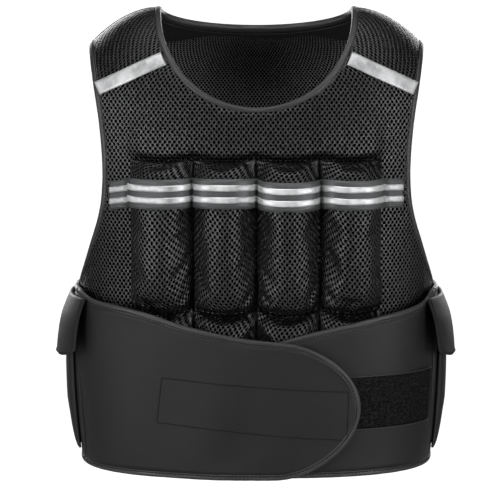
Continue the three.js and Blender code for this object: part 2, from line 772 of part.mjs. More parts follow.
// Reflective trim
show('reflective_tape', reflectiveTape().subtract(panel(-1, GAP)), TAPE_GREY);
show('silver_stripe_upper', silverStripe(TAPE_MIDDLE + STRIPE_SPACING / 2), SILVER);
show('silver_stripe_lower', silverStripe(TAPE_MIDDLE - STRIPE_SPACING / 2), SILVER);
show('shoulder_strip_left', shoulderStrip(1), SILVER);
show('shoulder_strip_right', shoulderStrip(-1), SILVER);

// Belt: the wing on the wearer's right closes over the one on the left
const flat = () => 0;
const outerWing = rightWingOutline();
const innerWing = leftWingOutline();
show('belt_back', beltBack(), NEOPRENE_BLACK);
show('belt_wing_right', wing(outerWing, -1, overlap), NEOPRENE_BLACK);
show('belt_wing_left', wing(innerWing, 1, flat), NEOPRENE_BLACK);
show('wing_binding_right', wingBinding(outerWing, -1, overlap), BINDING_BLACK);
show('wing_binding_left', wingBinding(innerWing, 1, flat), BINDING_BLACK);
show('back_binding_upper', backBinding(BELT_SIDE_HEIGHT, -1), BINDING_BLACK);
show('back_binding_lower', backBinding(0, 1), BINDING_BLACK);
show('loop_patch', loopPatch(), LOOP_BLACK);
show('hook_patch', hookPatch(), LOOP_BLACK);

// Hip pouches
for (const [word, hand] of [
  ['left', 1],
  ['right', -1],
]) {
  show(`hip_pouch_${word}`, pouch(hand), NEOPRENE_BLACK);
  show(`pouch_flap_${word}`, pouchFlap(hand), NEOPRENE_BLACK);
}

export default vest;
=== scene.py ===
"""Weighted training vest: padded mesh panels, stuffed weight pockets, reflective trim and a wrap belt.

Shapes are worked out in millimetres as functions of two parameters on numpy grids. Heights count from the
belt's lower edge, and `publish` moves them into the frame, whose origin is the seat between the shoulders.
"""

import logging
from dataclasses import dataclass, field
from enum import Enum
from typing import Callable

import bpy
import numpy as np
from numpy.typing import NDArray
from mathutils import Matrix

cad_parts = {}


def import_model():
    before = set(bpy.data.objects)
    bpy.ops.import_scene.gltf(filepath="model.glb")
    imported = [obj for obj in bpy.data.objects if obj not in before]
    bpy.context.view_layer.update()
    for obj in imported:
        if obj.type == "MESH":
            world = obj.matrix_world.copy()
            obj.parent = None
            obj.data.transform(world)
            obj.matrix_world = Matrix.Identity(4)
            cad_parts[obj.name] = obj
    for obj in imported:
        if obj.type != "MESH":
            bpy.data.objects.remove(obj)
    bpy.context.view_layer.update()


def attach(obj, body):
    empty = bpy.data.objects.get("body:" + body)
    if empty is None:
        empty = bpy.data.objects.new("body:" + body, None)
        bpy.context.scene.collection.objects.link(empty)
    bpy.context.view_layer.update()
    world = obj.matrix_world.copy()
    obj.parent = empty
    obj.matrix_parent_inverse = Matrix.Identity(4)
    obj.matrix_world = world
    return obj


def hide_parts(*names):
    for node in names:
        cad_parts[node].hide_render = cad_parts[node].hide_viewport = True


LOG = logging.getLogger("vest")
Array = NDArray[np.float64]
Output = bpy.types.NodeSocket
Outputs = tuple[Output, ...]

MM = 0.001
SEAT_HEIGHT = 483.75
RIDGE_HEIGHT = 500.0
SHOULDER_HALF = 184.0
SHOULDER_DROP = 41.0
NECK_HALF = 104.0
PANEL_THICKNESS = 6.0
BINDING_WIDTH = 9.0
BELT_THICKNESS = 4.0
BELT_BINDING_WIDTH = 7.0
BELT_SIDE_HEIGHT = 195.0
HANDS = ((1, "left"), (-1, "right"))
POCKET_WIDTH = 67.0
POCKET_COUNT = 4
POCKET_TOP = 341.0
POCKET_TOP_DIP = 4.5
UPPER_BULGE = 27.0
LOWER_BULGE = 23.0
MIDDLE_GAP = 0.15


@dataclass(frozen=True)
class Curve:
    """Smooth curve through a table: cubic pieces whose slopes come from the neighbouring rows."""

    at: tuple[float, ...]
    value: tuple[float, ...]
    scale: float = 1.0

    def __call__(self, t: Array) -> Array:
        """Value of the curve at each t, held level past both ends."""
        x, y = np.asarray(self.at), np.asarray(self.value) * self.scale
        slope = np.gradient(y)
        slope[1:-1] = (y[2:] - y[:-2]) / (x[2:] - x[:-2])
        slope[[0, -1]] = (y[1] - y[0]) / (x[1] - x[0]), (y[-1] - y[-2]) / (x[-1] - x[-2])
        t = np.clip(np.asarray(t, float), x[0], x[-1])
        i = np.clip(np.searchsorted(x, t, side="right") - 1, 0, len(x) - 2)
        span, rise = x[i + 1] - x[i], y[i + 1] - y[i]
        s, a, b = (t - x[i]) / span, slope[i] * span, slope[i + 1] * span
        return y[i] + s * (a + s * (3 * rise - 2 * a - b + s * (a + b - 2 * rise)))


SECTION_HEIGHTS = tuple(RIDGE_HEIGHT * s for s in (0, 0.12, 0.26, 0.4, 0.54, 0.68, 0.84, 1.0))
BODY_HALF = Curve(SECTION_HEIGHTS, (0.962, 0.985, 1.0, 0.995, 1.0, 1.025, 1.055, 1.076), 197.0)
BODY_FRONT = Curve(SECTION_HEIGHTS, (0.935, 0.965, 0.99, 1.0, 0.99, 0.96, 0.87, 0.68), 108.0)
BODY_BACK = Curve(SECTION_HEIGHTS, (0.86, 0.9, 0.93, 0.97, 1.0, 0.99, 0.9, 0.68), 106.0)
ARMHOLE = Curve(
    (0, 0.035, 0.09, 0.18, 0.28, 0.37, 0.5, 0.68, 0.85, 1.0),
    (1.0, 0.985, 0.961, 0.922, 0.877, 0.848, 0.83, 0.833, 0.853, 0.876),
)
RIGHT_WING_EDGE = Curve(
    (-75, -66, -55, -44, -33, -21, -7, 8), (1.0, 0.962, 0.944, 0.912, 0.862, 0.824, 0.79, 0.769), BELT_SIDE_HEIGHT
)
LEFT_WING_EDGE = Curve(
    (-12, 9, 25, 38, 49, 60, 68, 75), (0.71, 0.759, 0.813, 0.851, 0.887, 0.916, 0.944, 1.0), BELT_SIDE_HEIGHT
)
OVERLAP_STEP = Curve((-75, -45, -38, -16, 50), (0, 0.26, 0.34, 1.0, 1.0), 7.9)
TAPE_SECTION = Curve((-0.1, -0.04, 0, 0.02, 0.05, 0.146, 0.309, 0.5), (0, 0.14, 0.24, 0.42, 0.6, 0.83, 0.975, 1.01))


def tape_height(share: Array) -> Array:
    """Height of the band above the chest by its place across one pocket."""
    return UPPER_BULGE * TAPE_SECTION(np.minimum(share, 1 - share))


def smooth(low: float, high: float, t: Array) -> Array:
    """Smooth step from 0 at low to 1 at high."""
    s = np.clip((t - low) / (high - low), 0, 1)
    return s * s * (3 - 2 * s)


def unit(v: Array) -> Array:
    """Each vector divided by its length."""
    return v / np.maximum(np.linalg.norm(v, axis=-1, keepdims=True), 1e-9)


def ridge(x: Array) -> Array:
    """Height of the shoulder: level to the neck point, then falling as the square of the way out."""
    out = np.maximum(0, np.abs(x) - NECK_HALF) / (SHOULDER_HALF - NECK_HALF)
    return RIDGE_HEIGHT - SHOULDER_DROP * out**2


@dataclass(frozen=True)
class RoundedForm:
    """Closed form |y/depth|^n + (1 - rise^2)|x/half|^n = 1 - rise^2, where rise closes it to a ridge."""

    half: Callable[[Array], Array]
    front: Callable[[Array], Array]
    back: Callable[[Array], Array]
    power: float
    close_height: float = 400.0
    closes: bool = True

    def open(self, x: Array, z: Array) -> Array:
        """Share of the section that is still open at this height under the ridge."""
        if not self.closes:
            return np.ones_like(z)
        rise = np.maximum(0, (z - self.close_height) / (ridge(x) - self.close_height))
        return 1 - rise**2

    def value(self, p: Array) -> Array:
        """Zero on the form and negative inside it."""
        x, y, z = p[..., 0], p[..., 1], p[..., 2]
        depth = np.where(y < 0, self.front(z), self.back(z))
        across = 1 - np.abs(x / self.half(z)) ** self.power
        return np.abs(y / depth) ** self.power - self.open(x, z) * across

    def gradient(self, p: Array) -> Array:
        """Slope of the value, by central differences."""
        steps = np.eye(3) * 0.01
        return np.stack([(self.value(p + s) - self.value(p - s)) / 0.02 for s in steps], axis=-1)

    def normal(self, p: Array) -> Array:
        """Outward unit normal."""
        return unit(self.gradient(p))

    def press(self, p: Array) -> Array:
        """Nearest point of the form, by stepping along the slope."""
        for _ in range(10):
            g = self.gradient(p)
            p = p - g * (self.value(p) / np.maximum((g * g).sum(-1), 1e-12))[..., None]
        return p

    def lay(self, p: Array, offset: Array | float) -> Array:
        """Points at an offset along the form's normal."""
        return p + self.normal(p) * np.broadcast_to(offset, p.shape[:-1])[..., None]

    def at(self, x: Array, z: Array, side: int) -> Array:
        """Point seen at (x, z) from the front, on the chest side (-1) or the back side (1)."""
        x, z = np.broadcast_arrays(np.asarray(x, float), np.asarray(z, float))
        across = np.maximum(0, 1 - np.abs(x / self.half(z)) ** self.power) * np.maximum(0, self.open(x, z))
        depth = self.front(z) if side < 0 else self.back(z)
        return np.stack([x, side * depth * across ** (1 / self.power), z], axis=-1)

    def round(self, angle: Array, z: Array) -> Array:
        """Point at an angle round from the front, in degrees."""
        angle, z = np.broadcast_arrays(np.asarray(angle, float), np.asarray(z, float))
        s, c = np.sin(np.radians(angle)), np.cos(np.radians(angle))
        depth = np.where(c > 0, self.front(z), self.back(z))
        reach = (np.abs(s / self.half(z)) ** self.power + np.abs(c / depth) ** self.power) ** (-1 / self.power)
        return np.stack([s * reach, -c * reach, z], axis=-1)

    def chart(self, p: Array, side: int) -> Array:
        """Cloth coordinates in millimetres: length round the section, and length up from the hem."""
        share = np.linspace(0, 1, 25)
        angle = np.degrees(np.arctan2(p[..., 0], -p[..., 1] if side < 0 else p[..., 1]))
        turned = angle[..., None] * share
        level = np.minimum(p[..., 2], 430.0)[..., None] * np.ones(25)
        ring = self.round(turned if side < 0 else 180 - turned, level)
        across = np.linalg.norm(np.diff(ring, axis=-2), axis=-1).sum(-1) * np.sign(angle)
        x = np.clip(p[..., 0], -175, 175)
        climb = self.at(x[..., None] * np.ones(25), p[..., 2][..., None] * share, side)
        return np.stack([across, np.linalg.norm(np.diff(climb, axis=-2), axis=-1).sum(-1)], axis=-1)


BODY = RoundedForm(BODY_HALF, BODY_FRONT, BODY_BACK, 2.4)
BELT = RoundedForm(
    lambda z: BODY_HALF(z) + 1.3,
    lambda z: BODY_FRONT(z) + 24.3,
    lambda z: BODY_BACK(z) + 1.3,
    2.6,
    closes=False,
)


def run_along(line: Array) -> Array:
    """Length of an open line up to each of its points."""
    return np.concatenate([[0], np.cumsum(np.linalg.norm(np.diff(line, axis=0), axis=-1))])


def sampled(at: Array, run: Array, values: Array) -> Array:
    """Points or vectors of a line at given lengths along it."""
    return np.stack([np.interp(at, run, values[:, k]) for k in range(3)], axis=-1)


def evenly(points: Array, count: int) -> Array:
    """The same open line with count + 1 evenly spaced points."""
    run = run_along(points)
    return sampled(np.linspace(0, run[-1], count + 1), run, points)


def azimuth(p: Array) -> Array:
    """Angle of each point round from the front, in degrees."""
    return np.degrees(np.arctan2(p[..., 0], -p[..., 1]))


def keep_side(points: Array, side: int) -> None:
    """Holds points a little in front of the middle plane (-1) or behind it (1)."""
    points[..., 1] = side * np.maximum(side * points[..., 1], MIDDLE_GAP)


def inward(form: RoundedForm, line: Array, turn: int, closed: bool, ends: Array | None = None) -> Array:
    """Unit directions across a line and along the surface: the normal crossed with the line's direction."""
    if closed:
        way = unit(np.roll(line, -1, 0) - line) + unit(line - np.roll(line, 1, 0))
    else:
        leg = unit(np.diff(line, axis=0))
        way = np.concatenate([leg[:1], leg[1:] + leg[:-1], leg[-1:]])
        if ends is not None:
            way[0], way[-1] = -ends, ends
    return unit(np.cross(form.normal(line), unit(way))) * turn


def mirrored(points: Array) -> Array:
    """The same points on the other side of the middle plane."""
    return points * np.array([-1.0, 1.0, 1.0])


def quads(rows: int, columns: int, wrap_rows: bool = False, wrap_columns: bool = False) -> NDArray[np.int64]:
    """Quads between neighbouring points of a rows by columns grid, joined round where it wraps."""
    i = np.arange(rows if wrap_rows else rows - 1)
    j = np.arange(columns if wrap_columns else columns - 1)
    a, b = np.meshgrid(i, j, indexing="ij")
    up, over = (a + 1) % rows, (b + 1) % columns
    return np.stack([a * columns + b, a * columns + over, up * columns + over, up * columns + b], -1).reshape(-1, 4)


@dataclass
class Skin:
    """Points, quads, cloth coordinates in millimetres and finish numbers of one surface."""

    points: Array
    faces: NDArray[np.int64]
    cloth: Array
    finish: NDArray[np.int64] = field(default_factory=lambda: np.zeros(0, np.int64))

    def __post_init__(self) -> None:
        """Gives every face the first finish where none is given."""
        if not len(self.finish):
            self.finish = np.zeros(len(self.faces), np.int64)

    def joined(self, other: "Skin") -> "Skin":
        """This surface and another as one."""
        first = (self.points, self.faces, self.cloth, self.finish)
        then = (other.points, other.faces + len(self.points), other.cloth, other.finish)
        return Skin(*(np.concatenate(pair) for pair in zip(first, then)))

    def facing_out(self) -> "Skin":
        """The same surface with its faces turned outwards, by the sign of its volume."""
        a, b, c, d = (self.points[self.faces[:, k]] for k in range(4))
        volume = (a * np.cross(b, c)).sum() + (a * np.cross(c, d)).sum()
        if volume < 0:
            self.faces = self.faces[:, ::-1].copy()
        return self


def metric(grid: Array) -> Array:
    """Cloth coordinates of a grid: lengths along its rows and its columns, from its first corner."""
    across = np.linalg.norm(np.diff(grid, axis=1), axis=-1)
    up = np.linalg.norm(np.diff(grid, axis=0), axis=-1)
    u = np.concatenate([np.zeros((len(grid), 1)), np.cumsum(across, axis=1)], axis=1)
    v = np.concatenate([np.zeros((1, grid.shape[1])), np.cumsum(up, axis=0)], axis=0)
    return np.stack([u, v], axis=-1)


def shell(outer: Array, inner: Array, cloth: Array | None = None, lining: int = 0, open_rows: int = 0) -> Skin:
    """Closed sheet between two grids, with walls round its rim.

    Args:
        outer: grid of the outer face.
        inner: grid of the inner face.
        cloth: cloth coordinates of both, measured on the outer face where none are given.
        lining: the inner face's finish number.
        open_rows: rows of the first column that get no wall, because the sheet's other half joins there.

    Returns:
        The closed surface.
    """
    rows, columns = outer.shape[:2]
    count = rows * columns
    face = quads(rows, columns)
    ids = np.arange(count).reshape(rows, columns)
    rim = np.concatenate([ids[0, :-1], ids[:-1, -1], ids[-1, :0:-1], ids[:0:-1, 0]])
    after = np.roll(rim, -1)
    kept = (rim % columns > 0) | (rim // columns > open_rows) | (rim < columns)
    rim, after = rim[kept], after[kept]
    wall = np.stack([after, rim, rim + count, after + count], -1)
    uv = (metric(outer) if cloth is None else cloth).reshape(-1, 2)
    finish = np.concatenate([np.zeros(len(face)), np.full(len(face), lining), np.zeros(len(wall))]).astype(np.int64)
    points = np.concatenate([outer.reshape(-1, 3), inner.reshape(-1, 3)])
    return Skin(points, np.concatenate([face, face[:, ::-1] + count, wall]), np.concatenate([uv, uv]), finish)


def welded(skin: Skin) -> Skin:
    """The same surface with points at one place made one."""
    _, first, where = np.unique(np.round(skin.points, 3), axis=0, return_index=True, return_inverse=True)
    return Skin(skin.points[first], where.reshape(-1)[skin.faces], skin.cloth[first], skin.finish)


def tube(rings: Array, closed: bool) -> Skin:
    """Bar through cross-section rings of an even number of points, joined round or capped with ladders."""
    count, sides = rings.shape[:2]
    along = run_along(rings.mean(1))
    loop = np.concatenate([rings, rings[:, :1]], axis=1)
    around = np.concatenate([np.zeros((count, 1)), np.cumsum(np.linalg.norm(np.diff(loop, axis=1), axis=-1), 1)], 1)
    faces = quads(count, sides, wrap_rows=closed, wrap_columns=True)
    if not closed:
        k = np.arange(sides // 2 - 1)
        cap = np.stack([k, k + 1, sides - 2 - k, sides - 1 - k], -1)
        faces = np.concatenate([faces, cap[:, ::-1], cap + (count - 1) * sides])
    cloth = np.stack([np.broadcast_to(along[:, None], (count, sides)), around[:, :-1]], -1)
    return Skin(rings.reshape(-1, 3), faces, cloth.reshape(-1, 2)).facing_out()


class Socket(Enum):
    """Socket kinds of a node group."""

    VECTOR = "NodeSocketVector"
    FLOAT = "NodeSocketFloat"


class Wiring:
    """Places nodes in a tree and joins them; a plain value given for a socket is set on it."""

    def __init__(self, tree: bpy.types.NodeTree) -> None:
        """Keeps the tree that the nodes go into."""
        self.tree = tree

    def node(self, kind: str, settings: dict[str, object] | None = None, **sockets: object) -> bpy.types.Node:
        """Adds a node.

        Args:
            kind: the node's class name without its ShaderNode prefix, or a whole class name.
            settings: attributes of the node, such as its operation.
            sockets: inputs by name with _ for a space, as a value or as another node's output.

        Returns:
            The new node.
        """
        node = self.tree.nodes.new(kind if kind.startswith("Node") else f"ShaderNode{kind}")
        for key, value in (settings or {}).items():
            setattr(node, key, value)
        for key, value in sockets.items():
            self.feed(node.inputs[key.replace("_", " ")], value)
        return node

    def feed(self, socket: Output, value: object) -> None:
        """Joins an output to a socket, or sets the socket's value."""
        if isinstance(value, Output):
            self.tree.links.new(value, socket)
        else:
            socket.default_value = value

    def math(self, operation: str, *values: object, clamp: bool = False) -> Output:
        """A Math node's output."""
        node = self.tree.nodes.new("ShaderNodeMath")
        node.operation, node.use_clamp = operation, clamp
        for socket, value in zip(node.inputs, values):
            self.feed(socket, value)
        return node.outputs[0]

    def times(self, a: object, b: object) -> Output:
        """Product of two values."""
        return self.math("MULTIPLY", a, b)

    def plus(self, a: object, b: object) -> Output:
        """Sum of two values."""
        return self.math("ADD", a, b)

    def scaled(self, value: object, factor: object, start: object, clamp: bool = False) -> Output:
        """A start value and a value times a factor."""
        return self.math("MULTIPLY_ADD", value, factor, start, clamp=clamp)

    def step(self, low: float, high: float, value: object) -> Output:
        """Smooth step of a value between two bounds."""
        setting = {"interpolation_type": "SMOOTHSTEP"}
        return self.node("MapRange", setting, Value=value, From_Min=low, From_Max=high).outputs[0]

    def mix(self, share: object, a: object, b: object) -> Output:
        """Colour between a and b."""
        node = self.node("Mix", {"data_type": "RGBA"})
        self.feed(node.inputs[0], share)
        for socket, value in ((node.inputs[6], a), (node.inputs[7], b)):
            self.feed(socket, value if isinstance(value, Output) else (*value, 1.0))
        return node.outputs[2]

    def noise(self, vector: object, scale: float, detail: float = 3.0, roughness: float = 0.55) -> Output:
        """Noise value around a half."""
        return self.node("TexNoise", Vector=vector, Scale=scale, Detail=detail, Roughness=roughness).outputs[0]


def node_group(
    name: str, sockets: dict[str, tuple[Socket, float]], outputs: tuple[str, ...], wire: Callable
) -> bpy.types.NodeTree:
    """Builds a shader node group once.

    Args:
        name: the group's name.
        sockets: its inputs, each with its kind and its default number.
        outputs: names of its float outputs.
        wire: called with the wiring and the inputs' node; returns the outputs' sockets in order.

    Returns:
        The group's tree, the same one on every call.
    """
    if name in bpy.data.node_groups:
        return bpy.data.node_groups[name]
    tree = bpy.data.node_groups.new(name, "ShaderNodeTree")
    for key, (kind, start) in sockets.items():
        socket = tree.interface.new_socket(key, in_out="INPUT", socket_type=kind.value)
        if kind is Socket.FLOAT:
            socket.default_value = start
    for key in outputs:
        tree.interface.new_socket(key, in_out="OUTPUT", socket_type=Socket.FLOAT.value)
    wiring = Wiring(tree)
    given = wiring.node("NodeGroupInput")
    result = wiring.node("NodeGroupOutput")
    for socket, value in zip(result.inputs, wire(wiring, given.outputs)):
        wiring.feed(socket, value)
    return tree


def staggered_holes() -> bpy.types.NodeTree:
    """Group: oval holes in rows, every other row moved by half a pitch. Puts out the holes and a height."""

    def wire(w: Wiring, given: bpy.types.NodeOutputs) -> Outputs:
        """Distance to each cell's centre, measured as a share of the hole's radii."""
        wander = w.node("TexNoise", {"noise_dimensions": "2D"}, Vector=given["Cloth"], Scale=170.0, Detail=1.0)
        bent = w.node("VectorMath", {"operation": "MULTIPLY_ADD"}, Vector=wander.outputs["Color"])
        bent.inputs[1].default_value = (0.0011, 0.0011, 0.0)
        w.feed(bent.inputs[2], given["Cloth"])
        parts = w.node("SeparateXYZ", Vector=bent.outputs[0])
        up = w.math("DIVIDE", parts.outputs[1], given["Row pitch"])
        row = w.math("FLOOR", up)
        odd = w.times(w.math("FLOORED_MODULO", row, 2.0), 0.5)
        over = w.plus(w.math("DIVIDE", parts.outputs[0], given["Pitch"]), odd)
        x = w.times(w.math("SUBTRACT", w.math("FRACT", over), 0.5), given["Pitch"])
        y = w.times(w.math("SUBTRACT", w.math("FRACT", up), 0.5), given["Row pitch"])
        x = w.math("DIVIDE", x, given["Hole width"])
        y = w.math("DIVIDE", y, given["Hole height"])
        far = w.math("SQRT", w.plus(w.times(x, x), w.times(y, y)))
        uneven = w.plus(far, w.scaled(w.noise(given["Cloth"], 380.0, 2.0), 0.36, -0.18))
        solid = w.step(0.36, 0.62, uneven)
        rim = w.times(w.step(0.4, 0.75, uneven), w.math("SUBTRACT", 1.25, w.times(far, 0.34)))
        yarn = w.noise(given["Cloth"], 2600.0, 2.0)
        height = w.plus(rim, w.times(yarn, 0.22))
        return w.math("SUBTRACT", 1.0, solid), height

    return node_group(
        "Staggered holes",
        {
            "Cloth": (Socket.VECTOR, 0),
            "Pitch": (Socket.FLOAT, 0.0052),
            "Row pitch": (Socket.FLOAT, 0.0035),
            "Hole width": (Socket.FLOAT, 0.0026),
            "Hole height": (Socket.FLOAT, 0.0034),
        },
        ("Holes", "Height"),
        wire,
    )


def fine_weave() -> bpy.types.NodeTree:
    """Group: crossed ribs of thread. Puts out a height and a tone that varies between threads."""

    def wire(w: Wiring, given: bpy.types.NodeOutputs) -> Outputs:
        """Product of two rounded waves, roughened by fine noise."""
        parts = w.node("SeparateXYZ", Vector=given["Cloth"])
        waves = []
        for axis, pitch in ((0, given["Thread"]), (1, given["Pick"])):
            turn = w.times(w.math("DIVIDE", parts.outputs[axis], pitch), 2 * np.pi)
            waves.append(w.scaled(w.math("SINE", turn), 0.5, 0.5))
        hair = w.noise(given["Cloth"], 2200.0, 3.0)
        height = w.plus(w.times(waves[0], waves[1]), w.times(hair, 0.6))
        tone = w.plus(w.times(height, 0.4), w.times(w.noise(given["Cloth"], 90.0), 0.6))
        return height, tone

    return node_group(
        "Fine weave",
        {"Cloth": (Socket.VECTOR, 0), "Thread": (Socket.FLOAT, 0.0008), "Pick": (Socket.FLOAT, 0.0008)},
        ("Height", "Tone"),
        wire,
    )


def handling_wear() -> bpy.types.NodeTree:
    """Group: broad cloudy patches with a few faint rubbed streaks."""

    def wire(w: Wiring, given: bpy.types.NodeOutputs) -> Outputs:
        """Two noises of different size, one pulled out lengthwise."""
        broad = w.noise(given["Place"], 9.0, 4.0)
        pulled = w.node("Mapping", Vector=given["Place"])
        pulled.inputs["Scale"].default_value = (40.0, 40.0, 7.0)
        streak = w.step(0.52, 0.8, w.noise(pulled.outputs[0], 2.0, 4.0, 0.6))
        return (w.plus(w.step(0.25, 0.75, broad), w.times(streak, given["Streaks"])),)

    return node_group(
        "Handling wear", {"Place": (Socket.VECTOR, 0), "Streaks": (Socket.FLOAT, 0.4)}, ("Wear",), wire
    )


@dataclass(frozen=True)
class Finish:
    """A cloth finish: its colours, gloss, weave and the record's slot that it belongs to."""

    name: str
    slot: str
    dark: tuple[float, float, float]
    light: tuple[float, float, float]
    roughness: float
    sheen: float = 0.0
    metallic: float = 0.0
    bump: float = 0.3
    depth: float = 0.0004
    gloss: float = 0.3

    def material(self) -> bpy.types.Material:
        """The material, built on the first call."""
        if self.name in bpy.data.materials:
            return bpy.data.materials[self.name]
        material = bpy.data.materials.new(self.name)
        material.use_nodes = True
        tree = material.node_tree
        tree.nodes.clear()
        w = Wiring(tree)
        place = w.node("TexCoord")
        cloth = w.node("UVMap", {"uv_map": "Cloth"}).outputs[0]
        wear = w.node("Group", {"node_tree": handling_wear()}, Place=place.outputs["Object"]).outputs[0]
        colour, rough, height = self.pattern(w, cloth, wear)
        bump = w.node("Bump", Strength=self.bump, Distance=self.depth, Height=height)
        shader = w.node("BsdfPrincipled", Base_Color=colour, Roughness=rough, Normal=bump.outputs[0],
                        Metallic=self.metallic, Sheen_Weight=self.sheen, Sheen_Roughness=0.5,
                        Specular_IOR_Level=self.gloss)
        w.node("OutputMaterial", Surface=shader.outputs[0])
        return material

    def pattern(self, w: Wiring, cloth: Output, wear: Output) -> Outputs:
        """Colour, roughness and height of a fine woven cloth."""
        weave = w.node("Group", {"node_tree": fine_weave()}, Cloth=cloth)
        tone = w.scaled(wear, 0.35, w.times(weave.outputs["Tone"], 0.75), clamp=True)
        rough = w.scaled(wear, 0.1, self.roughness - 0.05)
        return w.mix(tone, self.dark, self.light), rough, weave.outputs["Height"]


@dataclass(frozen=True)
class SpacerMesh(Finish):
    """Padded knit with rows of oval holes, painted near-black: the dark filling and painted shade in each hole."""

    pitch: float = 0.0052
    row_pitch: float = 0.0035
    hole: tuple[float, float] = (0.0026, 0.0034)
    # Hole colour: the dark filling with painted shade of the hole's depth, since the holes are not cut through.
    filling_and_hole_shade: tuple[float, float, float] = (0.0012, 0.0012, 0.0012)

    def pattern(self, w: Wiring, cloth: Output, wear: Output) -> Outputs:
        """Colour, roughness and height of the knit and its holes."""
        holes = w.node("Group", {"node_tree": staggered_holes()}, Cloth=cloth, Pitch=self.pitch,
                       Row_pitch=self.row_pitch, Hole_width=self.hole[0], Hole_height=self.hole[1])
        tone = w.scaled(w.noise(cloth, 700.0, 2.0), 0.6, w.times(wear, 0.3), clamp=True)
        knit = w.mix(tone, self.dark, self.light)
        # Holes painted near-black: dark filling plus painted shade.
        colour = w.mix(holes.outputs["Holes"], knit, self.filling_and_hole_shade)
        rough = w.scaled(holes.outputs["Holes"], 0.3, self.roughness)
        return colour, rough, holes.outputs["Height"]


@dataclass(frozen=True)
class PileFinish(Finish):
    """Loop or hook pile: short matted fibres with no direction."""

    def pattern(self, w: Wiring, cloth: Output, wear: Output) -> Outputs:
        """Colour, roughness and height of matted fibre."""
        fibre = w.noise(cloth, 900.0, 6.0, 0.8)
        tuft = w.noise(cloth, 260.0, 4.0, 0.7)
        height = w.plus(fibre, w.times(tuft, 1.2))
        tone = w.times(w.step(0.4, 0.75, fibre), w.scaled(w.step(0.35, 0.7, tuft), 0.8, 0.2))
        return w.mix(tone, self.dark, self.light), w.scaled(fibre, 0.1, self.roughness), height


@dataclass(frozen=True)
class SatinBand(Finish):
    """Woven band with fine ribs along its length."""

    rib: float = 0.0011

    def pattern(self, w: Wiring, cloth: Output, wear: Output) -> Outputs:
        """Colour, roughness and height of the ribs."""
        weave = w.node("Group", {"node_tree": fine_weave()}, Cloth=cloth, Thread=0.05, Pick=self.rib)
        tone = w.scaled(wear, 0.3, w.times(weave.outputs["Height"], 0.5), clamp=True)
        return w.mix(tone, self.dark, self.light), w.scaled(wear, 0.12, self.roughness), weave.outputs[0]


@dataclass(frozen=True)
class SilverFilm(Finish):
    """Reflective film of tiny glass beads, cloudy and with fine scuffs."""

    def pattern(self, w: Wiring, cloth: Output, wear: Output) -> Outputs:
        """Colour, roughness and height of the beads and scuffs."""
        beads = w.noise(cloth, 3200.0, 2.0)
        cloud = w.noise(cloth, 34.0, 4.0, 0.6)
        pulled = w.node("Mapping", Vector=cloth)
        pulled.inputs["Scale"].default_value = (12.0, 420.0, 1.0)
        scuff = w.step(0.55, 0.75, w.noise(pulled.outputs[0], 6.0, 3.0))
        tone = w.math("SUBTRACT", w.step(0.25, 0.7, cloud), w.times(scuff, 0.35), clamp=True)
        rough = w.scaled(cloud, 0.25, self.roughness - 0.1)
        return w.mix(tone, self.dark, self.light), rough, w.plus(beads, w.times(cloud, 0.6))


class Cloths:
    """The finishes of the vest."""

    # Hole colours near zero: painted shade in the holes over the dark filling.
    MESH = SpacerMesh("Spacer mesh", "spacer_mesh", (0.018, 0.018, 0.0185), (0.082, 0.082, 0.084), 0.35, 0.0, 1.0,
                      bump=0.8, depth=0.0011, gloss=0.06, filling_and_hole_shade=(0.0004, 0.0004, 0.0004))
    INNER_MESH = SpacerMesh("Inner mesh", "spacer_mesh", (0.02, 0.02, 0.02), (0.21, 0.21, 0.214), 0.5, 0.0, 0.4,
                            bump=0.8, depth=0.0008, gloss=0.06, pitch=0.0042, row_pitch=0.0029,
                            hole=(0.0029, 0.0034), filling_and_hole_shade=(0.0003, 0.0003, 0.0003))
    LINING = Finish("Smooth lining", "smooth_lining", (0.002, 0.002, 0.0022), (0.006, 0.006, 0.0063), 0.5, 0.02,
                    bump=0.25, depth=0.0003, gloss=0.2)
    NEOPRENE = Finish("Neoprene", "neoprene", (0.004, 0.004, 0.0042), (0.0092, 0.0092, 0.0095), 0.48, 0.0, bump=0.4,
                      depth=0.0003, gloss=0.22)
    BINDING = SatinBand("Binding tape", "binding_tape", (0.009, 0.009, 0.0095), (0.021, 0.021, 0.022), 0.42, 0.02,
                        bump=0.5, depth=0.0004, rib=0.0014, gloss=0.4)
    BAND = SatinBand("Grey band", "reflective_band", (0.034, 0.035, 0.036), (0.082, 0.084, 0.086), 0.36, 0.0, 0.3,
                     bump=0.5, depth=0.0005, rib=0.0016)
    SILVER = SilverFilm("Silver film", "silver_reflective", (0.18, 0.182, 0.185), (0.56, 0.563, 0.568), 0.42, 0.0, 0.35,
                        bump=0.2, depth=0.0002)
    PILE = PileFinish("Loop pile", "hook_and_loop", (0.0002, 0.0002, 0.0002), (0.075, 0.075, 0.077), 0.95, 0.0,
                      bump=1.0, depth=0.002, gloss=0.04)
    THREAD = SatinBand("Sewing thread", "binding_tape", (0.001, 0.001, 0.001), (0.005, 0.005, 0.005), 0.6, 0.0,
                       bump=0.3, depth=0.0002, rib=0.0006, gloss=0.15)


def added(
    name: str, data: bpy.types.ID, place: Array | tuple = (0.0, 0.0, 0.0), turn: tuple = (0.0, 0.0, 0.0)
) -> bpy.types.Object:
    """New object in the scene, at a place and turned by Euler angles."""
    thing = bpy.data.objects.new(name, data)
    thing.location, thing.rotation_euler = place, turn
    bpy.context.scene.collection.objects.link(thing)
    return thing


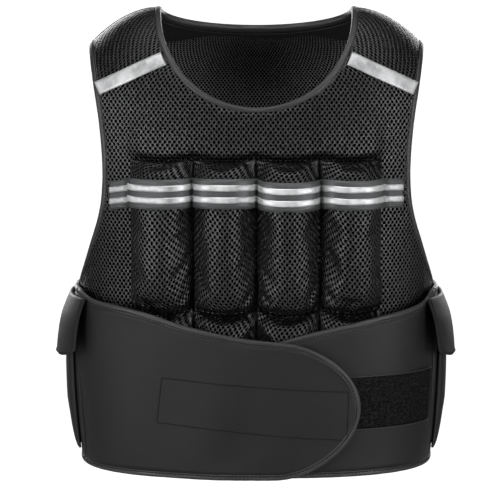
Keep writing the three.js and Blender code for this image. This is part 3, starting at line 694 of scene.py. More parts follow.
def publish(
    name: str, skin: Skin, finishes: tuple[Finish, ...], nodes: tuple[str, ...] = (), rounds: int = 0
) -> bpy.types.Object:
    """Makes a surface into a piece of the vest.

    Args:
        name: the piece's name.
        skin: its surface, in millimetres above the hem.
        finishes: one finish for each finish number of its faces.
        nodes: frame nodes that the piece stands for.
        rounds: levels of subdivision surface.

    Returns:
        The new object, at the origin, riding on the vest's one body.
    """
    mesh = bpy.data.meshes.new(name)
    mesh.vertices.add(len(skin.points))
    mesh.vertices.foreach_set("co", ((skin.points - [0, 0, SEAT_HEIGHT]) * MM).astype(np.float32).ravel())
    mesh.loops.add(skin.faces.size)
    mesh.loops.foreach_set("vertex_index", skin.faces.astype(np.int32).ravel())
    mesh.polygons.add(len(skin.faces))
    mesh.polygons.foreach_set("loop_start", np.arange(0, skin.faces.size, 4, dtype=np.int32))
    mesh.polygons.foreach_set("material_index", skin.finish.astype(np.int32))
    mesh.polygons.foreach_set("use_smooth", np.ones(len(skin.faces), bool))
    mesh.update(calc_edges=True)
    layer = mesh.uv_layers.new(name="Cloth")
    layer.data.foreach_set("uv", (skin.cloth[skin.faces.ravel()] * MM).astype(np.float32).ravel())
    for finish in finishes:
        mesh.materials.append(finish.material())
    piece = added(name, mesh)
    if rounds:
        surface = piece.modifiers.new("Soft surface", "SUBSURF")
        surface.levels = surface.render_levels = rounds
    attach(piece, "root")
    if nodes:
        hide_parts(*nodes)
    LOG.info("%s: %d faces", name, len(skin.faces))
    return piece


def ripple(run: Array, seed: float, size: float = 1.0) -> Array:
    """Uneven wave along a length in millimetres: four sines of unrelated lengths."""
    waves = ((23.0, 0.34), (11.3, 0.3), (6.7, 0.22), (4.1, 0.14))
    return size * sum(a * np.sin(run / w * 2 * np.pi + seed * (k + 1) * 1.7) for k, (w, a) in enumerate(waves))


@dataclass
class Edging:
    """Folded tape closed over a cut edge: a rounded bar, grooved where it is sewn, its lip from the inner side."""

    form: RoundedForm
    width: float
    low: float
    high: float
    proud: float = 0.8
    sides: int = 34
    lip: float = 2.2
    groove: float = 0.85
    groove_reach: float = 0.65

    def section(self) -> tuple[float, float]:
        """Middle of the tape along the normal, and half of its thickness."""
        return (self.low + self.high) / 2, (self.high - self.low) / 2 + self.proud

    def rings(self, line: Array, ways: Array, base: Array | float = 0.0, seed: float = 1.0) -> Array:
        """Cross-section rings: superellipse of power 3, across the edge and along the normal.

        Args:
            line: the edge line.
            ways: directions into the cloth at its points.
            base: extra offset of the cloth from the form at each point.
            seed: shifts the uneven puckering.

        Returns:
            Rings of points, one for each point of the line.
        """
        turn = np.linspace(0, 2 * np.pi, self.sides, endpoint=False) + np.pi / self.sides
        c, s = np.cos(turn), np.sin(turn)
        c, s = np.sign(c) * np.abs(c) ** (2 / 3), np.sign(s) * np.abs(s) ** (2 / 3)
        pucker = ripple(run_along(line), seed, 0.28)[:, None]
        inset = self.width / 2 * (1 - c)[None, :] + pucker * 0.5
        middle, half = self.section()
        raised = middle + half * s[None, :] * (1 + 0.1 * pucker) + np.broadcast_to(base, line.shape[:1])[:, None]
        groove = np.exp(-(((inset - self.width + self.lip) / self.groove_reach) ** 2)) * (s > 0.3)
        raised = raised - self.groove * groove
        place = self.form.press(line[:, None] + ways[:, None] * inset[..., None])
        return self.form.lay(place, raised)

    def top(self, line: Array, ways: Array, base: Array | float = 0.0) -> tuple[Array, Array]:
        """Points and normals of the stitch line at the bottom of the tape's groove."""
        inset = self.width - self.lip
        place = self.form.press(line + ways * inset)
        normal = self.form.normal(place)
        share = np.clip(abs(1 - 2 * inset / self.width), 0, 1)
        middle, half = self.section()
        lift = middle + half * (1 - share**3) ** (1 / 3) - self.groove + 0.1
        return place + normal * (np.broadcast_to(base, line.shape[:1]) + lift)[:, None], normal


@dataclass
class Stitching:
    """A row of thread loops lying on cloth."""

    pitch: float = 4.0
    length: float = 2.7
    radius: float = 0.34

    def row(self, line: Array, normal: Array) -> Skin:
        """Little capsules at even spacing along a line; each rises in the middle and sinks in at both ends."""
        run = run_along(line)
        at = np.arange(self.pitch / 2, run[-1], self.pitch)
        centre = sampled(at, run, line)
        up = unit(sampled(at, run, normal))
        way = unit(sampled(at + 0.5, run, line) - sampled(at - 0.5, run, line))
        side = unit(np.cross(up, way))
        t = np.array([-0.5, -0.36, 0.0, 0.36, 0.5])
        swell = np.array([0.3, 0.85, 1.0, 0.85, 0.3]) * self.radius
        rise = self.radius * (0.75 - 4.2 * t**2)
        turn = np.linspace(0, 2 * np.pi, 6, endpoint=False)
        ring = (
            centre[:, None, None]
            + way[:, None, None] * (t * self.length)[None, :, None, None]
            + up[:, None, None] * rise[None, :, None, None]
            + side[:, None, None] * (swell[:, None] * np.cos(turn))[None, ..., None]
            + up[:, None, None] * (swell[:, None] * np.sin(turn))[None, ..., None]
        )
        one = tube(ring[0], closed=False)
        count = ring[0].shape[0] * 6
        faces = (one.faces[None] + (np.arange(len(at)) * count)[:, None, None]).reshape(-1, 4)
        return Skin(ring.reshape(-1, 3), faces, np.tile(one.cloth, (len(at), 1)))


class Threads:
    """The stitches of the vest, in millimetres."""

    PANEL = Stitching(3.6, 2.7, 0.45)
    BELT = Stitching(4.2, 3.3, 0.5)
    PATCH_END = Stitching(3.0, 2.5, 0.5)
    HOOK = Stitching(3.2, 2.7, 0.5)
    FLAP = Stitching(3.8, 2.8, 0.45)


@dataclass
class Sewn:
    """A sub-assembly that keeps its rows of stitches until they are joined into one piece."""

    seams: list[Skin] = field(default_factory=list)

    def bind(
        self, names: tuple[str, str], edging: Edging, line: Array, ways: Array, thread: Stitching,
        seed: float, base: Array | float = 0.0, closed: bool = False, side: int = 0,
    ) -> None:
        """Folds tape over an edge and keeps the row of stitches that holds it.

        Args:
            names: the piece's name and the frame node that it stands for.
            edging: section of the tape.
            line: the edge line.
            ways: directions into the cloth at its points.
            thread: the stitches.
            seed: shifts the uneven puckering.
            base: extra offset of the cloth from the form at each point.
            closed: whether the line runs round to its start.
            side: where the tape keeps to one side of the middle plane, which one.
        """
        rings = edging.rings(line, ways, base, seed)
        if side:
            keep_side(rings, side)
        publish(names[0], tube(rings, closed), (Cloths.BINDING,), names[1:])
        self.seams.append(thread.row(*edging.top(line, ways, base)))

    def sew(self, name: str) -> None:
        """Joins the rows of stitches into one piece."""
        skin = self.seams[0]
        for other in self.seams[1:]:
            skin = skin.joined(other)
        publish(name, skin, (Cloths.THREAD,))


def welt(line: Array, radius: float) -> Skin:
    """Thin round edge along a line: circles square to it, closed at both ends."""
    way = unit(np.gradient(line, axis=0))
    up = unit(np.stack([line[:, 0], line[:, 1], 0 * line[:, 0]], -1))
    side = unit(np.cross(up, way))
    turn = np.linspace(0, 2 * np.pi, 8, endpoint=False)[None, :, None]
    return tube(line[:, None] + radius * (up[:, None] * np.sin(turn) + side[:, None] * np.cos(turn)), closed=False)


@dataclass
class MeshBody(Sewn):
    """Front and back panels of padded mesh, the tape on their edges and the facing inside the neck."""

    lower_rows: int = 44
    chest_rows: int = 72
    neck_rows: int = 44
    columns: int = 46
    tuck: float = 5.5
    front_neck_depth: float = 105.0
    back_neck_depth: float = 20.0
    underarm: float = 201.0

    @staticmethod
    def shoulder_tip() -> float:
        """Height where the armhole meets the ridge, found by repeated substitution."""
        z = RIDGE_HEIGHT - SHOULDER_DROP
        for _ in range(20):
            z = float(ridge(np.array(ARMHOLE.value[-1] * BODY_HALF(np.array(z)))))
        return z

    def armhole(self, side: int) -> Array:
        """Edge line of one armhole on the wearer's left, from the underarm up to the shoulder."""
        up = (1 - np.cos(np.pi * np.linspace(0, 1, 400))) / 2
        fuller = 0.015 * np.sin(np.pi * up) * (1 - np.exp(-12 * up)) if side > 0 else 0.0
        z = self.underarm + (self.shoulder_tip() - self.underarm) * up
        return evenly(BODY.at(np.minimum(ARMHOLE(up) + fuller, 1) * BODY_HALF(z), z, side),
                      self.chest_rows + self.neck_rows)

    def neck(self, side: int) -> tuple[Array, Array]:
        """Whole neck edge from shoulder to shoulder, and the directions into the cloth."""
        a = np.pi / 2 * (1 - (1 - np.linspace(0, 1, 400)) ** 3)
        x = NECK_HALF * np.sin(a)
        depth = self.front_neck_depth if side < 0 else self.back_neck_depth
        half = evenly(BODY.at(x, ridge(x) - depth * np.cos(a), side), self.neck_rows)
        line = np.concatenate([mirrored(half[:0:-1]), half])
        return line, inward(BODY, line, side, False, np.array([0.0, -side, 0.0]))

    def half_panel(self, side: int) -> Array:
        """Half of a panel: straight rungs between the middle and the armhole rails, pressed on the form."""
        arm = self.armhole(side)
        arm = BODY.press(arm + inward(BODY, arm, -side, False, np.array([0.0, -side, 0.0])) * self.tuck)
        line, ways = self.neck(side)
        neck = BODY.press(line + ways * self.tuck)[self.neck_rows:]
        low = np.linspace(10.0, arm[0, 2], self.lower_rows, endpoint=False)
        chest = np.linspace(arm[0, 2], neck[0, 2], self.chest_rows, endpoint=False)
        z = np.concatenate([low, chest])
        inner = np.concatenate([BODY.at(0 * z, z, side), neck])
        outer = np.concatenate([BODY.at(BODY_HALF(low), low, side), arm])
        share = np.linspace(0, 1, self.columns)[None, :, None]
        grid = BODY.press(inner[:, None] * (1 - share) + outer[:, None] * share)
        grid[:, 0], grid[:, -1] = inner, outer
        return grid

    @staticmethod
    def chest_relief(p: Array) -> Array:
        """Chest swells over the pockets' top seam and is drawn in along it."""
        x, z = p[..., 0], p[..., 2]
        across = 1 - smooth(118, 143, np.abs(x))
        beat = (x / POCKET_WIDTH) % 1
        seam = POCKET_TOP - POCKET_TOP_DIP * (1 - (2 * beat - 1) ** 2)
        swell = 6.0 * smooth(seam, seam + 8, z) * (1 - smooth(seam + 14, 418, z))
        draw = -1.5 * np.exp(-(((z - seam + 1) / 4) ** 2))
        pleat = 0.5 * np.sin(x / 3.1 + 2 * np.sin(x / 11)) * np.exp(-(((z - seam - 8) / 9) ** 2))
        between = -3.2 * np.exp(-(((z - 178) / 5) ** 2))
        broad = 0.7 * np.sin(x / 37 + 0.6) * np.sin(z / 41) * smooth(350, 420, z)
        return across * (swell + draw + pleat + between) + broad

    @staticmethod
    def back_relief(p: Array) -> Array:
        """Faint broad unevenness of the back, strongest above the belt."""
        x, z = p[..., 0], p[..., 2]
        drape = 1.6 * np.sin(x / 31 + 0.4 * np.sin(z / 60)) * np.exp(-(((z - 215) / 45) ** 2))
        return drape + 0.8 * np.sin(x / 53 + 1.1) * np.sin(z / 47)

    def panel(self, side: int) -> Skin:
        """One whole panel with its finishes: outer mesh and inner mesh."""
        grid = self.half_panel(side)
        skins = []
        for half in (grid, mirrored(grid)):
            relief = self.chest_relief(half) if side < 0 else self.back_relief(half)
            fade = np.ones(half.shape[:2])
            fade[:, -6:] = np.linspace(1, 0, 6)
            fade[-self.neck_rows:, :6] *= np.linspace(0, 1, 6)
            outer = BODY.lay(half, relief * fade)
            inner = BODY.lay(half, -PANEL_THICKNESS)
            keep_side(outer, side)
            keep_side(inner, side)
            cloth = BODY.chart(half, side)
            skin = shell(outer, inner, cloth, lining=1, open_rows=self.lower_rows + self.chest_rows)
            skins.append(skin)
        skins[1].faces = skins[1].faces[:, ::-1].copy()
        return welded(skins[0].joined(skins[1])).facing_out()

    def build(self) -> None:
        """Makes the panels, the bindings and the facing."""
        edging = Edging(BODY, BINDING_WIDTH, -PANEL_THICKNESS, 0.0)
        for side, word in ((-1, "front"), (1, "back")):
            piece = publish(f"{word}_mesh", self.panel(side), (Cloths.MESH, Cloths.INNER_MESH), (f"{word}_panel",))
            line, ways = self.neck(side)
            names = (f"{word}_neck_tape", f"{word}_neck_binding")
            self.bind(names, edging, line, ways, Threads.PANEL, 2.0 + side, side=side)
        front, back = self.armhole(-1), self.armhole(1)
        loop = np.concatenate([front, back[-2:0:-1]])
        ways = inward(BODY, loop, 1, True)
        for hand, word in HANDS:
            flip = (lambda v: v) if hand > 0 else mirrored
            names = (f"armhole_tape_{word}", f"armhole_binding_{word}")
            self.bind(names, edging, flip(loop), flip(ways), Threads.PANEL, 4.0 + hand, closed=True)
        self.facing()

    def facing(self) -> None:
        """Smooth facing inside the back of the neck, wider over the shoulders."""
        line, ways = self.neck(1)
        share = np.linspace(-1, 1, len(line))
        deep = 14 + 36 * smooth(0.35, 0.85, np.abs(share)) + 2 * np.sin(share * 9)
        depth = BINDING_WIDTH - 1.5 + (deep - BINDING_WIDTH + 1.5) * np.linspace(0, 1, 16)[:, None]
        grid = BODY.press(line[None] + ways[None] * depth[..., None])
        under = -PANEL_THICKNESS - 1.6
        faces = [BODY.lay(grid, under + 0.25 * np.sin(grid[..., 0] / 9)), BODY.lay(grid, under - 1.2)]
        for face in faces:
            keep_side(face, 1)
        publish("neck_facing", shell(*faces).facing_out(), (Cloths.LINING,), ("back_neck_facing",))


@dataclass
class WeightPockets:
    """Two rows of stuffed pockets: cloth sewn down on all sides and blown up by its filling."""

    columns: int = 25
    rows: int = 53
    slack: float = 0.035
    pressure: float = 5.0
    frames: int = 20
    most_shift: float = 7.0
    row_seam: float = 180.0
    lower_foot: float = 14.0
    side_power: float = 2.15
    foot_power: float = 12.0
    top_power: float = 3.2

    @staticmethod
    def eased(count: int) -> Array:
        """Places from 0 to 1, closer together near both ends."""
        share = np.linspace(0, 1, count)
        return share * 0.55 + (1 - np.cos(np.pi * share)) * 0.225

    def edges(self, upper: bool, u: Array) -> tuple[Array, Array, float]:
        """Heights of the bottom and top seams across a pocket, and its bulge. Seams dip in the middle."""
        dip = 1 - (2 * u - 1) ** 2
        if not upper:
            return self.lower_foot + 0 * u, self.row_seam - 1 - 4.8 * dip, LOWER_BULGE
        lift = 3.0 * np.abs(2 * u - 1) ** 4
        return self.row_seam + lift - 3.0 * dip, POCKET_TOP - POCKET_TOP_DIP * dip, UPPER_BULGE

    def blank(self, upper: bool, index: int) -> tuple[Array, Array]:
        """Skin and floor of one pocket before filling: its bulge is the root of 1 less a power of the way out."""
        u, v = self.eased(self.columns), self.eased(self.rows)
        low, high, bulge = self.edges(upper, u)
        z = low + (high - low) * v[:, None]
        x = (index - POCKET_COUNT / 2) * POCKET_WIDTH + 0.4 + (POCKET_WIDTH - 0.8) * u + 0 * z
        floor = BODY.at(x, z, -1)
        power = np.where(v < 0.5, self.foot_power, self.top_power)[:, None]
        full = np.sqrt(1 - np.abs(2 * u - 1) ** self.side_power)
        full = full * np.sqrt(np.maximum(0, 1 - np.abs(2 * v[:, None] - 1) ** power))
        gather = np.sin(x / 2.35 + index) + 0.6 * np.sin(x / 3.9 + 2.0 * index + 1)
        gather = gather * (np.exp(-(((z - high) / 13) ** 2)) + 0.8 * np.exp(-(((z - low) / 11) ** 2)))
        return BODY.lay(floor, 0.9 + 0.9 * bulge * full + 0.55 * gather * full), BODY.lay(floor, 0.5)

    def filled(self, skins: list[Skin]) -> list[Array]:
        """Blows all the blanks up together in one cloth simulation.

        Args:
            skins: the closed blanks.

        Returns:
            Their points afterwards, no further than most_shift from where they were.
        """
        start = np.concatenate([s.points for s in skins])
        cuts = np.cumsum([len(s.points) for s in skins])[:-1]
        offsets = np.concatenate([[0], cuts])
        mesh = bpy.data.meshes.new("pocket blanks")
        faces = np.concatenate([s.faces + o for s, o in zip(skins, offsets)])
        mesh.from_pydata((start * MM).tolist(), [], faces.tolist())
        blank, scene = added("pocket blanks", mesh), bpy.context.scene
        count = self.rows * self.columns
        ids = np.arange(count).reshape(self.rows, self.columns)
        rim = np.concatenate([ids[0], ids[-1], ids[:, 0], ids[:, -1], np.arange(count, 2 * count)])
        sewn = blank.vertex_groups.new(name="sewn")
        sewn.add(np.unique(np.concatenate([rim + o for o in offsets])).tolist(), 1.0, "REPLACE")
        cloth = blank.modifiers.new("filling", "CLOTH")
        cloth.point_cache.frame_start, cloth.point_cache.frame_end = 1, self.frames
        given = cloth.settings
        given.quality, given.mass, given.air_damping = 5, 0.3, 1.5
        given.tension_stiffness = given.compression_stiffness = 18.0
        given.shear_stiffness, given.bending_stiffness = 8.0, 1.2
        given.use_pressure, given.uniform_pressure_force = True, self.pressure
        given.vertex_group_mass, given.shrink_min = sewn.name, -self.slack
        given.effector_weights.gravity = 0.0
        for frame in range(1, self.frames + 1):
            scene.frame_set(frame)
        settled = blank.evaluated_get(bpy.context.evaluated_depsgraph_get()).to_mesh()
        points = np.empty(len(settled.vertices) * 3, np.float32)
        settled.vertices.foreach_get("co", points)
        blank.to_mesh_clear()
        bpy.data.objects.remove(blank)
        bpy.data.meshes.remove(mesh)
        scene.frame_set(1)
        shift = points.reshape(-1, 3).astype(float) / MM - start
        far = np.linalg.norm(shift, axis=-1, keepdims=True)
        return np.split(start + shift * np.minimum(1, self.most_shift / np.maximum(far, 1e-9)), cuts)

    def seated(self, points: Array, upper: bool, index: int) -> Array:
        """Keeps a filled pocket in its own column, above the chest and under the band that crosses it."""
        foot = BODY.press(points)
        normal = BODY.normal(foot)
        raised = ((points - foot) * normal).sum(-1)
        left = (index - POCKET_COUNT / 2) * POCKET_WIDTH
        x = np.clip(foot[:, 0], left + 0.25, left + POCKET_WIDTH - 0.25)
        foot = BODY.at(x, foot[:, 2], -1)
        if upper:
            share = (x - left) / POCKET_WIDTH
            under = tape_height(share) - 0.5
            away = foot[:, 2] - ReflectiveTrim.middle
            pinch = np.exp(-((away / 14) ** 4))
            limit = np.where(np.abs(away) < ReflectiveTrim.height / 2 + 1.5, np.maximum(under, 0.5), np.inf)
            raised = np.minimum(raised - pinch * smooth(8, 20, raised), limit)
        else:
            raised = np.minimum(raised, LOWER_BULGE + 0.6)
        return foot + BODY.normal(foot) * np.maximum(raised, 0.5)[:, None]

    def build(self) -> None:
        """Makes the eight pockets."""
        places = [(upper, k) for upper in (True, False) for k in range(POCKET_COUNT)]
        skins = [shell(*self.blank(upper, k)).facing_out() for upper, k in places]
        for (upper, k), skin, points in zip(places, skins, self.filled(skins)):
            row = "upper" if upper else "lower"
            front = len(points) // 2
            points[:front] = self.seated(points[:front], upper, k)
            skin.points, skin.cloth = points, skin.cloth + [31.0 * k, 0]
            name = f"{row}_weight_pocket_{k + 1}"
            piece = publish(name, skin, (Cloths.MESH,), (f"{row}_pocket_{k + 1}",), rounds=1)


@dataclass
class ReflectiveTrim:
    """Grey band over the upper pockets with two silver stripes, and a silver strip on each shoulder."""

    middle: float = 305.5
    height: float = 31.0
    stripe: float = 6.3
    spacing: float = 12.4
    smiles: tuple[float, ...] = (2.2, 0.7, 2.8, 2.8)
    sag_places: tuple[float, ...] = (-0.35, -0.04, 0.06, 1, 2, 2.1, 3, 3.1, 3.94, 4.04, 4.35)
    sags: tuple[float, ...] = (7.0, 3.6, 0.0, 0.4, 0.8, 2.6, 2.2, 1.0, 0.6, 3.4, 4.0)
    end: float = 157.5
    strip_inner: tuple[float, float] = (99.5, 445.5)
    strip_outer: tuple[float, float] = (170.5, 413.0)
    strip_height: float = 14.2

    def across(self) -> Array:
        """Places across the band, closer together near the pockets' seams."""
        edge = POCKET_COUNT / 2 * POCKET_WIDTH
        share = np.concatenate([[0, 0.007, 0.015, 0.025, 0.04, 0.06, 0.085, 0.115], np.linspace(0.15, 0.85, 19),
                                [0.885, 0.915, 0.94, 0.96, 0.975, 0.985, 0.993]])
        middle = (-edge + POCKET_WIDTH * (np.arange(POCKET_COUNT)[:, None] + share)).ravel()
        end = np.linspace(edge, self.end, 16)
        return np.concatenate([-end[::-1], middle[1:], end])

    @staticmethod
    def rise(x: Array) -> Array:
        """Height above the chest: a share of the pockets' bulge that dips where two pockets meet."""
        within = (POCKET_COUNT / 2 * POCKET_WIDTH - np.abs(x)) / POCKET_WIDTH
        share = np.where(within < 0, within, within % 1)
        sag = 0.12 * np.sin(x / 5.3) + 0.08 * np.sin(x / 2.9 + 1)
        return 0.8 + tape_height(share) + sag

    def sheet(self, low: float, high: float, base: float, thickness: float, rows: int) -> Skin:
        """Band between two heights. Each pocket pulls it down a little in its middle, by its smile and its sag."""
        x = self.across()[None, :]
        edge = POCKET_COUNT / 2 * POCKET_WIDTH
        share = (x + edge) / POCKET_WIDTH
        pocket = np.clip(share.astype(int), 0, POCKET_COUNT - 1)
        smile = np.array(self.smiles)[pocket] * np.maximum(0, 1 - (2 * (share - pocket) - 1) ** 2)
        sag = np.interp(share, self.sag_places, self.sags)
        shift = 0.3 - smile - sag
        rough = 0.07 * np.sin(x * 2.7) + 0.05 * np.sin(x * 4.9 + 1)
        z = self.middle + np.linspace(low, high, rows)[:, None] + shift + rough
        place = BODY.at(x + 0 * z, z, -1)
        crown = np.sin(np.linspace(0, np.pi, rows))[:, None] * 0.15
        lift = self.rise(x) + base + crown
        return shell(BODY.lay(place, lift + thickness), BODY.lay(place, lift)).facing_out()

    def shoulder(self, hand: int) -> Skin:
        """Silver strip across one shoulder, between the neck tape and the armhole tape."""
        inner, outer = np.array(self.strip_inner), np.array(self.strip_outer)
        slope = outer - inner
        up = np.array([-slope[1], slope[0]]) / np.hypot(*slope)
        s, k = np.meshgrid(np.linspace(0, 1, 40), np.linspace(-0.5, 0.5, 8))
        rough = 0.12 * np.sin(s * 160) * (np.abs(k) > 0.49)
        flat = inner + slope * s[..., None] + up * (k * self.strip_height + rough)[..., None]
        place = BODY.at(hand * flat[..., 0], flat[..., 1], -1)
        lift = 1.2 + 0.25 * np.sin(s * 9 + hand) + 0.7 * np.sin(flat[..., 0] / 37 + 0.6) * np.sin(flat[..., 1] / 41)
        return shell(BODY.lay(place, lift + 0.5), BODY.lay(place, lift - 0.8)).facing_out()

    def build(self) -> None:
        """Makes the band, its stripes and the shoulder strips."""
        half = self.height / 2
        publish("grey_band", self.sheet(-half, half, 0.0, 0.8, 9), (Cloths.BAND,), ("reflective_tape",))
        for sign, word in ((1, "upper"), (-1, "lower")):
            low = sign * self.spacing / 2 - self.stripe / 2
            skin = self.sheet(low, low + self.stripe, 0.95, 0.35, 5)
            publish(f"silver_line_{word}", skin, (Cloths.SILVER,), (f"silver_stripe_{word}",))
        for hand, word in HANDS:
            publish(f"silver_shoulder_{word}", self.shoulder(hand), (Cloths.SILVER,), (f"shoulder_strip_{word}",))


@dataclass
class WingOutline:
    """One belt wing seen flat: upper and lower edge by column, and the tip where they meet."""

    upper: Array
    lower: Array
    tip: Array

    def line(self) -> Array:
        """Edge down the upper side, round the tip and back along the lower side."""
        return np.concatenate([self.upper, self.tip[None], self.lower[::-1]])


@dataclass
class WrapBelt(Sewn):
    """Neoprene wings that close in front, the belt behind, their edge tape and the loop and hook patches."""

    seam: float = 75.0 - 0.044
    rows: int = 24
    hook_height: float = 49.0
    turn_start: float = 8.0
    turn_reach: float = 34.5
    tip_height: float = 75.0
    left_end: float = -12.0
    cloth_per_degree: float = 3.1
    loop_span: tuple[float, float] = (4.0, 71.5)
    loop_heights: tuple[float, float] = (52.0, 110.0)
    hook_span: tuple[float, float] = (-37.0, 36.0)
    hook_corners: tuple[tuple[float, float], ...] = ((-41.6, 60.5), (38.0, 42.8), (38.0, 95.0), (-39.2, 109.2))

    def outline(self, hand: int) -> WingOutline:
        """Outline of the wearer's right wing (-1), with its rounded end, or of the left one (1)."""
        if hand > 0:
            angle = np.linspace(self.seam, self.left_end, 60)
            top = LEFT_WING_EDGE(angle)
            return WingOutline(BELT.round(angle, top), BELT.round(angle, 0), BELT.round(self.left_end, top[-1] / 2))
        straight = np.linspace(-self.seam, self.turn_start, 60)
        turn = np.radians(np.linspace(0, 84, 22)[1:])
        angle = np.concatenate([straight, self.turn_start + self.turn_reach * np.sin(turn)])
        up = np.concatenate([RIGHT_WING_EDGE(straight), self.tip_height * (1 + np.cos(turn))])
        down = np.concatenate([0 * straight, self.tip_height * (1 - np.cos(turn))])
        tip = BELT.round(self.turn_start + self.turn_reach, self.tip_height)
        return WingOutline(BELT.round(angle, up), BELT.round(angle, down), tip)

    @staticmethod
    def lift(hand: int, p: Array) -> Array:
        """Offset of a wing's inner face: the right wing steps up over the end of the left one."""
        angle = azimuth(p)
        return OVERLAP_STEP(angle) if hand < 0 else 0 * angle

    @staticmethod
    def drape(hand: int, p: Array) -> Array:
        """Broad unevenness of neoprene drawn over the pockets, and the ridge of the hidden patch's edge."""
        angle, z = azimuth(p), p[..., 2]
        broad = 0.7 * np.sin(angle / 9 + z / 50) + 0.5 * np.sin(angle / 5.2 - z / 33 + 1)
        pull = 0.5 * np.sin((z + angle) / 13) * smooth(20, 40, angle) * (hand < 0)
        return broad * smooth(0, 25, z) + pull

    def ways(self, outline: WingOutline, hand: int) -> Array:
        """Directions into the cloth along a wing's edge, upright at the side seam."""
        ways = inward(BELT, outline.line(), hand, False)
        ways[0], ways[-1] = (0, 0, -1), (0, 0, 1)
        return ways

    def wing(self, hand: int) -> Skin:
        """Sheet of a wing: rungs from its lower to its upper edge, the last one through the tip."""
        outline = self.outline(hand)
        line = outline.line()
        moved = BELT.press(line + self.ways(outline, hand) * (BELT_BINDING_WIDTH - 3))
        count = len(outline.upper)
        share = np.linspace(0, 1, self.rows + 1)[:, None, None]
        bottom, top, tip = moved[: count : -1], moved[:count], moved[count]
        grid = bottom[None] * (1 - share) + top[None] * share
        half = share[:, :, 0]
        end = np.where(half <= 0.5, bottom[-1] * (1 - 2 * half) + tip * 2 * half,
                       tip * (2 - 2 * half) + top[-1] * (2 * half - 1))
        grid = BELT.press(np.concatenate([grid[:, :-1], end[:, None]], axis=1))
        lift = self.lift(hand, grid)
        rim = np.minimum(1, np.linspace(0, 12, self.rows + 1)[:, None] * np.linspace(12, 0, self.rows + 1)[:, None] / 9)
        outer = BELT.lay(grid, lift + BELT_THICKNESS + self.drape(hand, grid) * rim)
        cloth = np.stack([azimuth(grid) * self.cloth_per_degree, grid[..., 2]], -1)
        return shell(outer, BELT.lay(grid, lift), cloth).facing_out()

    @staticmethod
    def patch(
        span: tuple[float, float], low: Array | float, high: Array | float, base: Array | float, thickness: float
    ) -> Skin:
        """Patch sewn flat on a wing between two angles and two heights; its surface is a little uneven."""
        first, last = span
        angle = np.linspace(first, last, 60)[None, :]
        share = np.linspace(0, 1, 17)[:, None]
        z = low + (high - low) * share + 0.25 * np.sin(angle * 2.3) * (2 * share - 1)
        place = BELT.round(angle + 0 * z, z)
        edge = np.minimum(1, np.minimum(share, 1 - share) * 14) ** 0.5
        edge = edge * np.minimum(1, np.minimum(angle - first, last - angle) / 1.1 + 0.15) ** 0.5
        lift = base + 0 * z
        outer = BELT.lay(place, lift + 0.3 + thickness * edge + 0.15 * np.sin(angle / 1.7) * np.sin(z / 6))
        return shell(outer, BELT.lay(place, lift - 0.5)).facing_out()

    def hook_line(self) -> tuple[Array, Array]:
        """Row of stitches round the hidden hook patch, which shows as a plain rectangle on the right wing."""
        legs, corners = [], self.hook_corners
        for (a0, z0), (a1, z1) in zip(corners, corners[1:] + corners[:1]):
            s = np.linspace(0, 1, 80)
            legs.append(BELT.round(a0 + (a1 - a0) * s, z0 + (z1 - z0) * s))
        place = np.concatenate(legs)
        normal = BELT.normal(place)
        lift = self.lift(-1, place) + BELT_THICKNESS + self.drape(-1, place) + 0.1
        return place + normal * lift[:, None], normal

    def build(self) -> None:
        """Makes both wings, the belt behind and the patches."""
        edging = Edging(BELT, BELT_BINDING_WIDTH, 0.0, BELT_THICKNESS)
        for hand, word in HANDS[::-1]:
            publish(f"belt_cloth_{word}", self.wing(hand), (Cloths.NEOPRENE,), (f"belt_wing_{word}",))
            outline = self.outline(hand)
            line, ways = outline.line(), self.ways(outline, hand)
            names = (f"wing_tape_{word}", f"wing_binding_{word}")
            self.bind(names, edging, line, ways, Threads.BELT, 6.0 + hand, self.lift(hand, line))
        angle = np.linspace(self.seam + 0.09, 360 - self.seam - 0.09, 130)
        tuck = 4.0
        z = np.linspace(tuck, BELT_SIDE_HEIGHT - tuck, 20)[:, None]
        place = BELT.round(angle[None, :] + 0 * z, z)
        wave = 0.9 * np.sin(angle / 11 + z / 60) * np.sin(np.pi * (z - tuck) / (BELT_SIDE_HEIGHT - 2 * tuck))
        cloth = np.stack([angle[None, :] * self.cloth_per_degree + 0 * z, z + 0 * angle], -1)
        skin = shell(BELT.lay(place, BELT_THICKNESS + wave), BELT.lay(place, 0.0), cloth).facing_out()
        publish("belt_cloth_back", skin, (Cloths.NEOPRENE,), ("belt_back",))
        for height, way, word in ((BELT_SIDE_HEIGHT, -1.0, "upper"), (0.0, 1.0, "lower")):
            line = BELT.round(angle, height)
            ways = np.tile([0.0, 0.0, way], (len(line), 1))
            self.bind((f"back_tape_{word}", f"back_binding_{word}"), edging, line, ways, Threads.BELT, 8.0 + way)
        self.loop_side()
        self.hook_side()

    def loop_side(self) -> None:
        """Makes the loop patch, its two selvedges and the stitches across its ends."""
        low, high = self.loop_heights
        skin = self.patch(self.loop_span, low, high, BELT_THICKNESS + 0.6, 1.5)
        publish("loop_pile_patch", skin, (Cloths.PILE,), ("loop_patch",))
        along = np.linspace(*self.loop_span, 120)
        edges = [welt(BELT.lay(BELT.round(along, z), BELT_THICKNESS + 1.6), 0.5) for z in (low + 0.2, high - 0.2)]
        publish("patch_selvedge", edges[0].joined(edges[1]), (Cloths.BINDING,))
        for angle in (50.0, 69.5):
            place = BELT.round(angle + 0 * along, (low + high) / 2 + (along - sum(self.loop_span) / 2) * 0.83)
            line = BELT.lay(place, BELT_THICKNESS + 2.35)
            self.seams.append(Threads.PATCH_END.row(line, BELT.normal(place)))

